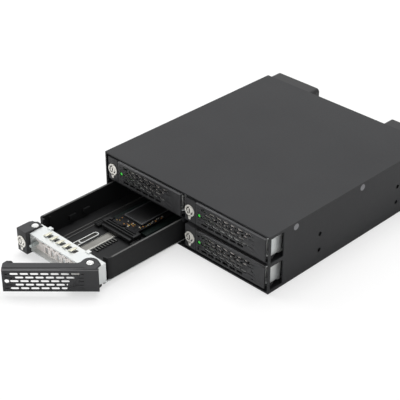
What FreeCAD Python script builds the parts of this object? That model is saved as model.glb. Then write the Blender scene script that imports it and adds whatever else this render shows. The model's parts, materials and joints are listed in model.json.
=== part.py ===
import FreeCAD, Part
import os
import re
import Sketcher
from FreeCAD import Rotation, Vector

# Hot swap drive cage for one half-height 5.25 inch bay: a sheet metal cage with four pull-out
# trays in two columns and two rows, each with a perforated latch door, a key lock and a drive.
# Frame: X to the right, Y to the rear, Z up. The origin lies on the bottom face, in the middle of
# the cage's width and in the middle of its depth, fans and their screw heads counted in.
# A tray is drawn about its own point: the middle of its face, on the face's front plane.

doc = FreeCAD.newDocument("drive_cage")
sheet = doc.addObject("Spreadsheet::Sheet", "Sizes")

sizes = {
    # cage
    "cage_width": 146.0,
    "cage_height": 41.3,
    "rear_room": 8.5,
    "sheet_wall": 1.0,
    "row_pitch": 20.0,
    "first_row": 10.65,
    "notch_depth": 13.0,
    "notch_height": 17.2,
    "rim_strip": 1.6,
    "shelf_front": 2.0,
    "shelf_flange": 3.0,
    "guide_height": 1.3,
    "guide_width": 0.8,
    "running_gap": 0.3,
    "guide_front_gap": 3.0,
    "guide_rear_gap": 2.0,
    "rear_play": 1.0,
    # holes for the bay's screws
    "side_hole_first": 47.4,
    "side_hole_spacing": 79.25,
    "side_hole_low": 9.9,
    "side_hole_rise": 11.94,
    "bottom_hole_spacing": 139.7,
    "screw_hole_radius": 1.5,
    # tray
    "face_width": 68.0,
    "face_height": 16.2,
    "tray_width": 67.0,
    "tray_length": 146.0,
    "tray_below": 9.3,
    "tray_above": 8.25,
    "pan_sheet": 1.0,
    "lip_height": 1.2,
    "bend_outer": 1.6,
    "bend_inner": 1.0,
    "shell_wall": 1.6,
    "shell_floor": 1.2,
    "shell_front": 17.0,
    "return_width": 4.6,
    "corner_radius": 3.0,
    "pull_out": 78.0,
    # front box of the pan
    "box_front": 3.0,
    "box_rear": 15.0,
    "box_half_height": 6.7,
    "box_left": 24.6,
    "corner_cut_x": 1.6,
    "corner_cut_y": 2.2,
    "finger_width": 2.8,
    "finger_length": 3.0,
    "finger_rise": 1.1,
    "finger_pitch": 5.95,
    "finger_first": -14.8,
    "finger_front": 7.5,
    "finger_count": 5,
    "finger_sheet": 0.6,
    "finger_foot": 1.1,
    "finger_sink": 0.2,
    "finger_hole": 2.2,
    "finger_inset": 0.4,
    "rear_clip_first": -19.0,
    "rear_clip_pitch": 36.5,
    "rear_clip_width": 3.2,
    "rear_clip_depth": 2.6,
    "rear_clip_seat": 1.2,
    "rear_clip_rise": 0.3,
    "tongue_left": -6.5,
    "tongue_width": 7.0,
    "tongue_end": 58.0,
    "proud": 0.2,
    "slot_centre": -11.0,
    "slot_front": 31.0,
    "slot_length": 16.0,
    "slot_width": 4.4,
    "slot_rim": 0.7,
    "shell_play": 0.15,
    "wall_clip_width": 1.6,
    "wall_clip_length": 5.5,
    "wall_clip_height": 3.2,
    "wall_clip_low": -3.4,
    "wall_clip_first": 40.0,
    "wall_clip_second": 52.0,
    "wall_clip_third": 92.0,
    "wall_rib_width": 0.9,
    "wall_rib_length": 1.2,
    "wall_rib_drop": 2.0,
    "wall_rib_first": 24.0,
    "wall_rib_setback": 34.0,
    # vent plate
    "vent_setback": 6.5,
    "vent_sheet": 0.8,
    "vent_right": 26.0,
    "vent_slot_width": 2.6,
    "vent_slot_height": 4.2,
    "vent_slot_pitch": 5.6,
    "vent_row_height": 2.8,
    "vent_first": -17.5,
    "vent_count": 8,
    # latch
    "latch_plate": 1.2,
    "latch_gap": 0.4,
    "hinge_x": 28.0,
    "hinge_y": 7.4,
    "latch_end": 5.6,
    "latch_nose_x": 6.6,
    "latch_nose_y": 1.5,
    "latch_diagonal": 3.1,
    "flange_depth": 7.0,
    "ear_radius": 5.4,
    "ear_blend": 4.0,
    "bump_depth": 2.1,
    "bump_length": 6.5,
    "bump_slope": 1.4,
    "bump_land": 2.1,
    "bump_hook": 0.5,
    "ear_angle": 22.0,
    "bevel": 0.9,
    "latch_open": 44.5,
    "hole_length": 5.2,
    "hole_height": 1.8,
    "hole_corner": 0.6,
    "hole_pitch": 6.15,
    "hole_row_pitch": 2.63,
    "hole_row_shift": -0.7,
    "hole_first": 7.3,
    "hole_stagger": 3.1,
    "light_hole_x": 2.8,
    "light_hole_radius": 1.5,
    # pins
    "pin_radius": 1.5,
    "pin_play": 0.05,
    "pin_head_radius": 2.6,
    "pin_head": 0.6,
    "head_play": 0.2,
    # lock block and lock
    "block_width": 8.9,
    "block_pin_x": 27.7,
    "block_pin_y": 9.8,
    "block_depth": 13.8,
    "tab_half_width": 2.55,
    "tab_reach": 2.6,
    "tab_play": 0.15,
    "block_chamfer": 1.2,
    "block_step": 5.0,
    "block_step_slope": 0.5,
    "block_step_depth": 1.4,
    "block_back_slope": 0.4,
    "block_corner_x": 1.1,
    "block_corner_y": 2.0,
    "lock_x": 29.8,
    "lock_z": -0.25,
    "lock_barrel": 3.4,
    "lock_head": 4.1,
    "lock_proud": 0.5,
    "lock_length": 7.6,
    "lock_face_gap": 0.05,
    "pointer_width": 0.9,
    "pointer_length": 1.2,
    "pointer_overhang": 0.45,
    "keyway_depth": 1.7,
    "keyway_width": 0.9,
    "keyway_height": 3.6,
    # light pipe
    "pipe_radius": 1.2,
    "pipe_front": 2.2,
    "pipe_rear": 13.5,
    "lens_length": 0.6,
    "lens_taper": 0.4,
    # adapter board and drive
    "drive_line": 0.8,
    "board_width": 32.0,
    "board_front": 64.0,
    "board_sheet": 1.2,
    "boss_height": 1.3,
    "boss_radius": 2.0,
    "boss_side": 12.0,
    "boss_front": 70.0,
    "boss_rear_setback": 8.0,
    "edge_socket_width": 23.0,
    "edge_socket_setback": 9.0,
    "edge_socket_depth": 4.5,
    "edge_socket_height": 3.6,
    "plug_width": 24.0,
    "plug_height": 5.0,
    "plug_reach": 4.6,
    "plug_depth": 8.6,
    "drive_width": 22.0,
    "drive_length": 80.0,
    "drive_sheet": 0.8,
    "drive_rise": 1.3,
    "chip_height": 1.2,
    "drive_play": 0.1,
    "drive_notch_radius": 1.75,
    # drive clip
    "clip_width": 30.0,
    "clip_depth": 6.0,
    "clip_height": 4.0,
    "clip_clearance": 1.5,
    "clip_overlap": 1.9,
    "pad_width": 4.5,
    "pad_depth": 5.0,
    "pad_height": 1.4,
    "pad_lead": 1.5,
    "foot_inset": 1.5,
    "seat_play": 0.2,
    "seat_extra": 1.0,
    "clip_slot_inset": 2.5,
    "clip_slot_first": 0.7,
    "clip_slot_pitch": 1.7,
    "clip_slot_width": 0.9,
    "clip_slot_depth": 1.6,
    "comb_left": 1.6,
    "comb_width": 3.8,
    "comb_front": 32.0,
    "comb_pitch": 2.3,
    "comb_tooth": 1.2,
    "comb_height": 0.8,
    "comb_spine": 0.8,
    "comb_count": 8,
    # backplane and its sockets
    "plug_room": 6.0,
    "backplane_sheet": 1.6,
    "backplane_margin": 0.4,
    "socket_wall": 2.0,
    "socket_depth": 4.8,
    "window_width": 12.5,
    "window_height": 12.0,
    "window_offset": 24.5,
    # rear connectors
    "rear_row_offset": 9.5,
    "rear_reach": 0.8,
    "host_width": 14.2,
    "host_height": 8.4,
    "host_wall": 1.2,
    "host_cavity": 6.2,
    "host_first": -21.5,
    "host_pitch": 16.6,
    "power_x": 17.0,
    "power_width": 24.0,
    "power_height": 7.2,
    "power_tongue": 1.4,
    "switch_width": 12.0,
    "switch_height": 5.6,
    "switch_depth": 3.6,
    "switch_travel": 2.0,
    "knob_width": 2.4,
    "knob_height": 2.2,
    "knob_reach": 1.6,
    "switch_back": 1.0,
    "knob_play": 0.2,
    "tongue_seat": 0.5,
    "tongue_setback": 0.8,
    # fans
    "fan_size": 40.0,
    "fan_depth": 10.0,
    "fan_bore": 18.9,
    "fan_hole_spacing": 32.0,
    "fan_corner": 2.5,
    "hub_radius": 9.6,
    "hub_depth": 6.6,
    "hub_setback": 1.0,
    "motor_radius": 9.0,
    "motor_plate": 1.4,
    "strut_width": 2.6,
    "bearing_radius": 3.0,
    "bearing_gap": 1.6,
    "strut_seat": 0.4,
    "hub_wall": 1.0,
    "hub_face": 1.2,
    "shaft_play": 0.3,
    "panel_overlap": 0.4,
    "shaft_radius": 1.5,
    "blade_root": 9.2,
    "blade_tip": 17.3,
    "blade_chord": 8.4,
    "blade_thickness": 0.8,
    "blade_root_pitch": 42.0,
    "blade_tip_pitch": 28.0,
    "blade_count": 7,
    # screws
    "fan_screw_radius": 1.4,
    "fan_screw_head": 2.7,
    "fan_screw_cap": 0.5,
    "cover_lip": 4.0,
    "cover_lip_front": 16.0,
    "cover_screw_radius": 1.2,
    "cover_screw_head": 2.2,
    "cover_screw_rise": 37.9,
    "cover_screw_front": 24.0,
    "cover_screw_middle": 88.0,
    "cover_screw_setback": 4.0,
}

for number, (alias, amount) in enumerate(sizes.items(), start=1):
    sheet.set(f"A{number}", alias)
    sheet.set(f"B{number}", str(amount))
    sheet.setAlias(f"B{number}", alias)
doc.recompute()

# Lengths that follow from the driving ones, each before those that it is worked out from
worked_out = {
    "column_pitch": "(cage_width / 2 - sheet_wall)",
    "fan_x": "(cage_width / 2 - sheet_wall - fan_size / 2)",
    "body_depth": "(backplane_front + rear_room)",
    "cover_screw_rear": "(backplane_front - cover_screw_setback)",
    "backplane_front": "(tray_length + plug_room)",
    "boss_rear": "(tray_length - boss_rear_setback)",
    "edge_socket_front": "(tray_length - edge_socket_setback)",
    "wall_rib_second": "(tray_length - wall_rib_setback)",
    "latch_span": "(hinge_x + face_width / 2 - block_width - latch_gap)",
}

alias_pattern = re.compile(r"\b(" + "|".join(sorted(sizes, key=len, reverse=True)) + r")\b")
moved = ("x", "y", "z")


def from_sheet(text):
    """The expression with every size read from the sheet."""
    text = str(text)
    for name, meaning in worked_out.items():
        text = re.sub(rf"\b{name}\b", meaning, text)
    return alias_pattern.sub(r"Sizes.\1", text)


def amount_of(text):
    """The number that an expression of sizes gives."""
    return float(sheet.evalExpression(from_sheet(text)))


def bind(thing, path, text):
    thing.setExpression(path, from_sheet(text))


def place(thing, at, rotation=None):
    """Puts an object at a point given by three expressions."""
    if rotation is not None:
        thing.Placement = FreeCAD.Placement(Vector(), rotation)
    for letter, text in zip(moved, at):
        bind(thing, f"Placement.Base.{letter}", text)
    return thing


def box(name, at, span):
    """A block from its lowest corner and its three lengths."""
    block = doc.addObject("Part::Box", name)
    for side, text in zip(("Length", "Width", "Height"), span):
        bind(block, side, text)
    return place(block, at)


along_x = Rotation(Vector(0, 1, 0), 90)
along_y = Rotation(Vector(1, 0, 0), -90)
along_z = Rotation()


def rod(name, at, radius, reach, direction=along_z):
    """A cylinder from the centre of its first end."""
    cylinder = doc.addObject("Part::Cylinder", name)
    bind(cylinder, "Radius", radius)
    bind(cylinder, "Height", reach)
    return place(cylinder, at, direction)


def cone(name, at, first, last, reach, direction=along_z):
    """A cone frustum from the centre of its first end."""
    frustum = doc.addObject("Part::Cone", name)
    bind(frustum, "Radius1", first)
    bind(frustum, "Radius2", last)
    bind(frustum, "Height", reach)
    return place(frustum, at, direction)


def fuse(name, pieces):
    joined = doc.addObject("Part::MultiFuse", name)
    joined.Shapes = pieces
    joined.Refine = True
    return joined


def group(name, pieces):
    """Separate solids kept together."""
    kept = doc.addObject("Part::Compound", name)
    kept.Links = pieces
    return kept


def cut(name, base, tools):
    taken = doc.addObject("Part::Cut", name)
    taken.Base = base
    taken.Tool = tools[0] if len(tools) == 1 else group(name + "_tools", tools)
    taken.Refine = True
    return taken


def copy(name, form, at, rotation=None):
    """One more of a form, moved to a point."""
    return place(group(name, [form]), at, rotation)


def origin_plane(body, role):
    return next(plane for plane in body.Origin.OriginFeatures if plane.Role == role)


def closed_outline(body, name, role, points, offset="0"):
    """A sketch of straight sides whose corners are all bound to sizes."""
    sketch = body.newObject("Sketcher::SketchObject", name)
    sketch.AttachmentSupport = [(origin_plane(body, role), "")]
    sketch.MapMode = "FlatFace"
    bind(sketch, "AttachmentOffset.Base.z", offset)
    corners = [Vector(amount_of(x), amount_of(y), 0) for x, y in points]
    count = len(corners)
    for index in range(count):
        sketch.addGeometry(Part.LineSegment(corners[index], corners[(index + 1) % count]), False)
    for index in range(count):
        sketch.addConstraint(Sketcher.Constraint("Coincident", index, 2, (index + 1) % count, 1))
    for index, (x, y) in enumerate(points):
        for kind, text, value in (("DistanceX", x, corners[index].x), ("DistanceY", y, corners[index].y)):
            place_number = sketch.addConstraint(Sketcher.Constraint(kind, index, 1, value))
            bind(sketch, f"Constraints[{place_number}]", text)
    return sketch


def plate(name, points, thickness, role="XY_Plane", offset="0"):
    """A flat piece: an outline padded to its thickness."""
    body = doc.addObject("PartDesign::Body", name)
    sketch = closed_outline(body, name + "_outline", role, points, offset)
    pad = body.newObject("PartDesign::Pad", name + "_pad")
    pad.Profile = sketch
    bind(pad, "Length", thickness)
    sketch.Visibility = False
    return body


def softened(name, base, chosen, amount, kind="Part::Fillet"):
    """Fillets or chamfers the edges of a piece that a test picks."""
    doc.recompute()
    numbers = [n for n, edge in enumerate(base.Shape.Edges, start=1) if chosen(edge)]
    if not numbers:
        raise ValueError(name + ": no edge to soften")
    soft = doc.addObject(kind, name)
    soft.Base = base
    soft.Edges = [(n, amount, amount) for n in numbers]
    return soft


def lower_side_edge(bottom, side):
    """A test for the two long lower edges of a floor."""
    def test(edge):
        first, last = edge.Vertexes[0], edge.Vertexes[-1]
        return (abs(first.X - last.X) < 0.01 and abs(abs(first.X) - side) < 0.01
                and abs(first.Z - bottom) < 0.01 and abs(last.Z - bottom) < 0.01)
    return test


def upright_at(x, y, slack=0.05):
    """A test for an upright edge that stands at a point in plan."""
    def test(edge):
        low, high = edge.Vertexes[0].Point, edge.Vertexes[-1].Point
        if abs(low.x - high.x) + abs(low.y - high.y) > slack:
            return False
        return abs(low.x - x) < slack and abs(low.y - y) < slack
    return test


def stadium(name, at, reach, width, thickness):
    """A slot shape with round ends, long in Y, from the middle of its front end."""
    x, y, z = at
    middle = box(name + "_middle", (f"{x} - ({width}) / 2", f"{y} + ({width}) / 2", z),
                 (width, f"{reach} - ({width})", thickness))
    front = rod(name + "_front", (x, f"{y} + ({width}) / 2", z), f"({width}) / 2", thickness)
    rear = rod(name + "_rear", (x, f"{y} + {reach} - ({width}) / 2", z), f"({width}) / 2", thickness)
    return fuse(name, [middle, front, rear])


kept = []


def keep(label, thing):
    """Names a finished sub-part."""
    thing.Label = label
    kept.append(thing)
    return thing


# Heights that several pieces share, from a tray's own middle
pan_top = "(pan_sheet - tray_below)"
lip_top = "(pan_sheet + lip_height - tray_below)"
floor_top = "(pan_sheet + shell_floor - tray_below)"
board_bottom = f"({floor_top} + boss_height)"
board_top = f"({board_bottom} + board_sheet)"
drive_bottom = f"({board_top} + drive_rise)"
drive_top = f"({drive_bottom} + drive_sheet)"
drive_front = "(edge_socket_front + edge_socket_depth / 3 - drive_length)"
front = "(-(body_depth + fan_depth + fan_screw_cap) / 2)"


def tray_pan():
    """Bright metal floor with its front box, which carries the pins and the vent plate."""
    half = "tray_width / 2"
    sheet_parts = [
        box("pan_floor", (f"-{half}", "box_rear - pan_sheet", "-tray_below"),
            ("tray_width", "tray_length - box_rear + pan_sheet", "pan_sheet")),
        box("box_sill", (f"-{half}", "box_rear - pan_sheet", pan_top),
            ("tray_width", "pan_sheet", "tray_below - box_half_height")),
    ]
    for side, start in (("left", f"-{half}"), ("right", f"{half} - pan_sheet")):
        sheet_parts.append(box(f"pan_lip_{side}", (start, "box_rear - pan_sheet", pan_top),
                               ("pan_sheet", "tray_length - box_rear + pan_sheet", "lip_height")))
    corner = lower_side_edge(amount_of("-tray_below"), amount_of(half))
    parts = [
        softened("bent_sheet", fuse("sheet_whole", sheet_parts), corner, sizes["bend_outer"],
                 "Part::Chamfer"),
        box("pan_tongue", ("tongue_left", "box_rear", pan_top),
            ("tongue_width", "tongue_end - box_rear", "shell_floor + proud")),
    ]
    for side, sign in (("left", "-1"), ("right", "1")):
        inner = f"{sign} * ({half} - pan_sheet)"
        parts.append(plate(f"bend_{side}",
                           [(inner, pan_top), (f"{sign} * ({half} - pan_sheet - bend_inner)", pan_top),
                            (inner, f"{pan_top} + bend_inner")],
                           "tray_length - box_rear", "XZ_Plane", "-tray_length"))
    outline = [("-box_left", "box_front"), (f"{half} - corner_cut_x", "box_front"),
               (half, "box_front + corner_cut_y"), (half, "box_rear"), ("-box_left", "box_rear")]
    for level, low in (("upper", "box_half_height - pan_sheet"), ("lower", "-box_half_height")):
        parts.append(plate(f"box_{level}", outline, "pan_sheet", offset=low))
        parts.append(box(f"pin_tab_{level}",
                         ("-block_pin_x - tab_reach", "block_pin_y - tab_half_width", low),
                         ("block_pin_x + tab_reach - box_left", "2 * tab_half_width", "pan_sheet")))
    parts += [
        box("cheek_right", (f"{half} - pan_sheet", "box_front + corner_cut_y", "-box_half_height"),
            ("pan_sheet", "box_rear - box_front - corner_cut_y", "2 * box_half_height")),
        box("cheek_left", ("-box_left", "box_front", "-box_half_height"),
            ("pan_sheet", "box_rear - box_front", "2 * box_half_height")),
        box("panel_behind_block", (f"-{half}", "box_rear - pan_sheet", "-box_half_height"),
            (f"{half} - box_left + pan_sheet", "pan_sheet", "2 * box_half_height")),
    ]
    for number in range(2):
        parts.append(box(f"rear_clip_{number}",
                         (f"rear_clip_first + {number} * rear_clip_pitch - rear_clip_width / 2",
                          "box_rear - rear_clip_seat", "box_half_height - pan_sheet / 2"),
                         ("rear_clip_width", "rear_clip_depth", "pan_sheet + rear_clip_rise")))
    finger = plate("finger", [("0", "0"), ("finger_width", "finger_rise"),
                              ("finger_width", "finger_rise - finger_sheet"),
                              ("finger_foot", "-finger_sink"), ("0", "-finger_sink")],
                   "finger_length", "XZ_Plane")
    holes = []
    for number in range(int(sizes["finger_count"])):
        left = f"finger_first + {number} * finger_pitch - finger_width / 2"
        parts.append(copy(f"finger_{number}", finger,
                          (left, "finger_front + finger_length", "box_half_height")))
        holes.append(box(f"finger_hole_{number}", (f"{left} + finger_width - finger_inset",
                                                   "finger_front + finger_inset",
                                                   "box_half_height - pan_sheet - 1"),
                         ("finger_hole", "finger_length - 2 * finger_inset", "pan_sheet + 1.01")))
    rim = stadium("slot_rim", ("slot_centre", "slot_front", "-tray_below"), "slot_length", "slot_width",
                  "pan_sheet + shell_floor + proud")
    holes.append(stadium("slot_hole", ("slot_centre", "slot_front + slot_rim", "-tray_below - 1"),
                         "slot_length - 2 * slot_rim", "slot_width - 2 * slot_rim",
                         "pan_sheet + shell_floor + 2"))
    for name, x, y in (("hinge", "hinge_x", "hinge_y"), ("block", "-block_pin_x", "block_pin_y")):
        holes.append(rod(f"{name}_pin_hole", (x, y, "-box_half_height - 1"), "pin_radius",
                         "2 * box_half_height + 2"))
    return cut("tray_pan", fuse("pan_whole", parts + [rim]), holes)


def tray_shell():
    """Black moulded floor and side walls, with a curved front corner, comb and bosses."""
    half = "tray_width / 2"
    wall_height = f"tray_above - {lip_top}"
    flat = box("shell_floor_sheet", (f"-{half} + pan_sheet", "box_rear", pan_top),
               ("tray_width - 2 * pan_sheet", "tray_length - box_rear", "shell_floor"))
    corner = lower_side_edge(amount_of(pan_top), amount_of(f"{half} - pan_sheet"))
    parts = [softened("bevelled_floor", flat, corner, sizes["bend_inner"], "Part::Chamfer")]
    edge = amount_of(half)
    for side, sign in (("left", "-1"), ("right", "1")):
        outer = f"{sign} * {half}"
        inner = f"{sign} * ({half} - shell_wall)"
        turn = f"{sign} * ({half} - return_width)"
        outline = [(outer, "shell_front"), (outer, "tray_length"), (inner, "tray_length"),
                   (inner, "shell_front + shell_wall"), (turn, "shell_front + shell_wall"),
                   (turn, "shell_front")]
        wall = plate(f"wall_{side}", outline, wall_height, offset=lip_top)
        bend = softened(f"bent_wall_{side}", wall,
                       upright_at(float(sign) * edge, sizes["shell_front"]), sizes["corner_radius"])
        parts.append(bend)
    for number, (x, y) in enumerate((side, y) for y in ("boss_front", "boss_rear") for side in (-1, 1)):
        parts.append(rod(f"boss_{number}", (f"drive_line + {x} * boss_side", y, floor_top), "boss_radius",
                         "boss_height"))
    parts.append(box("comb_back", ("comb_left", "comb_front", floor_top),
                     ("comb_spine", "(comb_count - 1) * comb_pitch + comb_tooth", "comb_height")))
    for number in range(int(sizes["comb_count"])):
        parts.append(box(f"comb_tooth_{number}",
                         ("comb_left", f"comb_front + {number} * comb_pitch", floor_top),
                         ("comb_width", "comb_tooth", "comb_height")))
    for number, y in enumerate(("wall_clip_first", "wall_clip_second", "wall_clip_third")):
        parts.append(box(f"wall_clip_{number}", (f"-{half} + shell_wall", y, "wall_clip_low"),
                         ("wall_clip_width", "wall_clip_length", "wall_clip_height")))
    for number, y in enumerate(("wall_rib_first", "wall_rib_second")):
        parts.append(box(f"wall_rib_{number}", (f"-{half} + shell_wall", y, floor_top),
                         ("wall_rib_width", "wall_rib_length",
                          f"tray_above - wall_rib_drop - {floor_top}")))
    holes = [
        box("tongue_window", ("tongue_left - shell_play", "box_rear - 1", f"{pan_top} - 1"),
            ("tongue_width + 2 * shell_play", "tongue_end - box_rear + 1 + shell_play", "shell_floor + 2")),
        stadium("slot_window", ("slot_centre", "slot_front - shell_play", f"{pan_top} - 1"),
                "slot_length + 2 * shell_play", "slot_width + 2 * shell_play", "shell_floor + 2"),
    ]
    return cut("tray_shell", fuse("shell_whole", parts), holes)


def vent_plate():
    """Perforated plate set back in the front box, with a hole for the light pipe."""
    sheet_metal = box("vent_sheet_metal",
                      ("pan_sheet - box_left", "vent_setback", "pan_sheet - box_half_height"),
                      ("vent_right + box_left - pan_sheet", "vent_sheet",
                       "2 * box_half_height - 2 * pan_sheet"))
    holes = [rod("vent_light_hole",
                 ("hinge_x - latch_span + light_hole_x", "vent_setback - 1", "hole_row_shift"),
                 "pipe_radius + pin_play", "vent_sheet + 2", along_y)]
    for row, sign in enumerate(("1", "-1")):
        for column in range(int(sizes["vent_count"])):
            if row and not column:
                continue
            left = f"vent_first + ({column} - {row} / 2) * vent_slot_pitch"
            holes.append(box(f"vent_slot_{row}_{column}",
                             (left, "vent_setback - 1", f"{sign} * vent_row_height - vent_slot_height / 2"),
                             ("vent_slot_width", "vent_sheet + 2", "vent_slot_height")))
    return cut("vent_plate", sheet_metal, holes)


def latch():
    """Channel shaped door about its hinge pin: slotted front plate, two flanges with ears."""
    face = "-hinge_y"
    rear = f"({face} + flange_depth)"
    low = "-face_height / 2"
    outline = [("-latch_span", face), ("latch_diagonal", face), ("latch_nose_x", "-latch_nose_y"),
               ("ear_radius * cos(ear_angle)", "ear_radius * sin(ear_angle)"),
               ("0", "ear_radius * sin(ear_angle)"), ("0", rear), ("bump_length - latch_span", rear),
               ("bump_length - bump_slope - latch_span", f"{rear} + bump_depth"),
               ("bump_land - latch_span", f"{rear} + bump_depth"), ("-latch_span", f"{rear} - bump_hook")]
    ears = []
    for level, start in (("upper", "face_height / 2 - latch_plate"), ("lower", low)):
        flange = fuse(f"flange_{level}",
                      [plate(f"flange_plan_{level}", outline, "latch_plate", offset=start),
                       rod(f"ear_{level}", ("0", "0", start), "ear_radius", "latch_plate")])
        meet_y = amount_of(rear)
        meet_x = -(sizes["ear_radius"] ** 2 - meet_y ** 2) ** 0.5
        ears.append(softened(f"soft_flange_{level}", flange, upright_at(meet_x, meet_y),
                             sizes["ear_blend"]))
    door = box("front_plate", ("-latch_span", face, low),
               ("latch_span + latch_end", "latch_plate", "face_height"))
    bevel = plate("bevel_cutter", [(f"{face} - 1", "face_height / 2 - bevel - 1"), (f"{face} + bevel + 1",
                                   "face_height / 2 + 1"), (f"{face} - 1", "face_height / 2 + 1")],
                  "latch_span + latch_nose_x + 4", "YZ_Plane", "-latch_span - 2")
    block = box("slot_block", ("-hole_length / 2", f"{face} - 1", "-hole_height / 2"),
                ("hole_length", "latch_plate + 2", "hole_height"))
    doc.recompute()
    lengthwise = [n for n, edge in enumerate(block.Shape.Edges, start=1)
                  if abs(edge.Vertexes[0].Y - edge.Vertexes[-1].Y) > sizes["latch_plate"]]
    slot = doc.addObject("Part::Chamfer", "slot_cutter")
    slot.Base = block
    slot.Edges = [(n, sizes["hole_corner"], sizes["hole_corner"]) for n in lengthwise]
    tools = [bevel]
    for row, count in enumerate((6, 6, 6, 6, 7)):
        for column in range(count):
            x = f"hole_first - latch_span + {column} * hole_pitch + {row % 2} * hole_stagger"
            z = f"hole_row_shift + ({row} - 2) * hole_row_pitch"
            tools.append(copy(f"slot_{row}_{column}", slot, (x, "0", z)))
    tools.append(rod("light_hole", ("light_hole_x - latch_span", f"{face} - 1", "hole_row_shift"),
                     "light_hole_radius", "latch_plate + 2", along_y))
    tools.append(rod("hinge_bore", ("0", "0", f"{low} - 1"), "pin_radius + pin_play", "face_height + 2"))
    tools.append(rod("head_recess", ("0", "0", "face_height / 2 - pin_head"), "pin_head_radius + head_play",
                     "pin_head + 1"))
    return cut("latch", fuse("latch_whole", ears + [door]), tools)


def lock_block():
    """Sprung block at the left of the face, about its pin, bored for the key lock."""
    left = "block_pin_x - face_width / 2"
    right = f"({left} + block_width)"
    rear = "(block_depth - block_pin_y)"
    face = "-block_pin_y"
    outline = [(left, face), (right, face), (right, f"{rear} - block_chamfer"),
               (f"{right} - block_chamfer", rear),
               (f"{right} - block_step", rear),
               (f"{right} - block_step - block_step_slope", f"{rear} - block_step_depth"),
               (f"{left} + block_corner_x", f"{rear} - block_step_depth - block_back_slope"),
               (left, f"{rear} - block_step_depth - block_back_slope - block_corner_y")]
    whole = plate("block_whole", outline, "face_height", offset="-face_height / 2")
    gap = "running_gap"
    tools = [rod("block_bore", ("0", "0", "-face_height"), "pin_radius + pin_play", "2 * face_height"),
             rod("block_head_recess", ("0", "0", "face_height / 2 - pin_head"),
                 "pin_head_radius + head_play",
                 "pin_head + 1"),
             rod("lock_bore", ("block_pin_x - lock_x", f"{face} - 1", "lock_z"), "lock_barrel + pin_play",
                 "lock_length + 1 + running_gap", along_y)]
    for level, low in (("upper", "box_half_height - pan_sheet"), ("lower", "-box_half_height")):
        tools.append(box(f"tab_slot_{level}",
                         (f"-tab_reach - {gap}", f"-tab_half_width - {gap}", f"{low} - tab_play"),
                         (f"tab_reach + {right} + 1", "tab_half_width + block_depth",
                          "pan_sheet + 2 * tab_play")))
    return cut("lock_block", whole, tools)


def lock_core():
    """Turning part of the key lock, about its own axis, with keyway and pointer."""
    parts = [rod("core_barrel", ("0", "0", "0"), "lock_barrel", "lock_length", along_y),
             rod("core_head", ("0", "-lock_proud", "0"), "lock_head", "lock_proud - lock_face_gap",
                 along_y),
             rod("core_neck", ("0", "-lock_face_gap", "0"), "lock_barrel", "lock_face_gap", along_y),
             box("core_pointer", ("-pointer_width / 2", "-lock_proud", "-lock_head - pointer_overhang"),
                 ("pointer_width", "lock_proud - lock_face_gap", "pointer_length"))]
    keyway = box("keyway", ("-keyway_width / 2", "-lock_proud - 1", "-keyway_height / 2"),
                 ("keyway_width", "1 + lock_proud + keyway_depth", "keyway_height"))
    return cut("lock_core", fuse("core_whole", parts), [keyway])


def pins():
    """Latch pin and block pin, headed, set in the front box."""
    set_of_two = []
    for name, x, y in (("hinge", "hinge_x", "hinge_y"), ("block", "-block_pin_x", "block_pin_y")):
        shaft = rod(f"{name}_shaft", (x, y, "-face_height / 2"), "pin_radius", "face_height - pin_head")
        head = rod(f"{name}_head", (x, y, "face_height / 2 - pin_head"), "pin_head_radius", "pin_head")
        set_of_two.append(fuse(f"{name}_pin", [shaft, head]))
    return group("pins", set_of_two)


def light_pipe():
    """Clear rod that carries the status light to the hole in the latch."""
    x = "hinge_x - latch_span + light_hole_x"
    stem = rod("pipe_stem", (x, "pipe_front + lens_length", "hole_row_shift"), "pipe_radius",
               "pipe_rear - pipe_front - lens_length", along_y)
    lens = cone("pipe_lens", (x, "pipe_front", "hole_row_shift"), "pipe_radius - lens_taper", "pipe_radius",
                "lens_length", along_y)
    return fuse("light_pipe", [stem, lens])


def adapter_board():
    """Circuit board with the edge socket for the drive and the plug for the backplane."""
    parts = [
        box("board_sheet_piece", ("drive_line - board_width / 2", "board_front", board_bottom),
            ("board_width", "tray_length - board_front", "board_sheet")),
        box("edge_socket", ("drive_line - edge_socket_width / 2", "edge_socket_front", board_top),
            ("edge_socket_width", "edge_socket_depth", "edge_socket_height")),
        box("board_plug",
            ("drive_line - plug_width / 2", "tray_length + plug_reach - plug_depth", board_bottom),
            ("plug_width", "plug_depth", "plug_height")),
    ]
    mouth = box("edge_socket_mouth", ("drive_line - drive_width / 2 - drive_play", "edge_socket_front - 1",
                                      f"{drive_bottom} - drive_play"),
                ("drive_width + 2 * drive_play", "edge_socket_depth / 3 + 1 + drive_play",
                 "drive_sheet + 2 * drive_play"))
    return cut("adapter_board", fuse("board_whole", parts), [mouth])


def drive():
    """Gum-stick solid state drive: board with chips."""
    parts = [box("drive_board", ("drive_line - drive_width / 2", drive_front, drive_bottom),
                 ("drive_width", "drive_length", "drive_sheet"))]
    for name, start, reach, width in (("memory_front", 9, 18, 15), ("memory_rear", 30, 18, 15),
                                      ("controller", 52, 12, 12), ("buffer", 67, 6, 9)):
        parts.append(box(name, (f"drive_line - {width} / 2", f"{drive_front} + {start}", drive_top),
                         (width, reach, "chip_height")))
    hole = rod("drive_notch", ("drive_line", drive_front, f"{drive_bottom} - 1"), "drive_notch_radius",
               "drive_sheet + 2")
    return cut("drive", fuse("drive_whole", parts), [hole])


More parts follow.
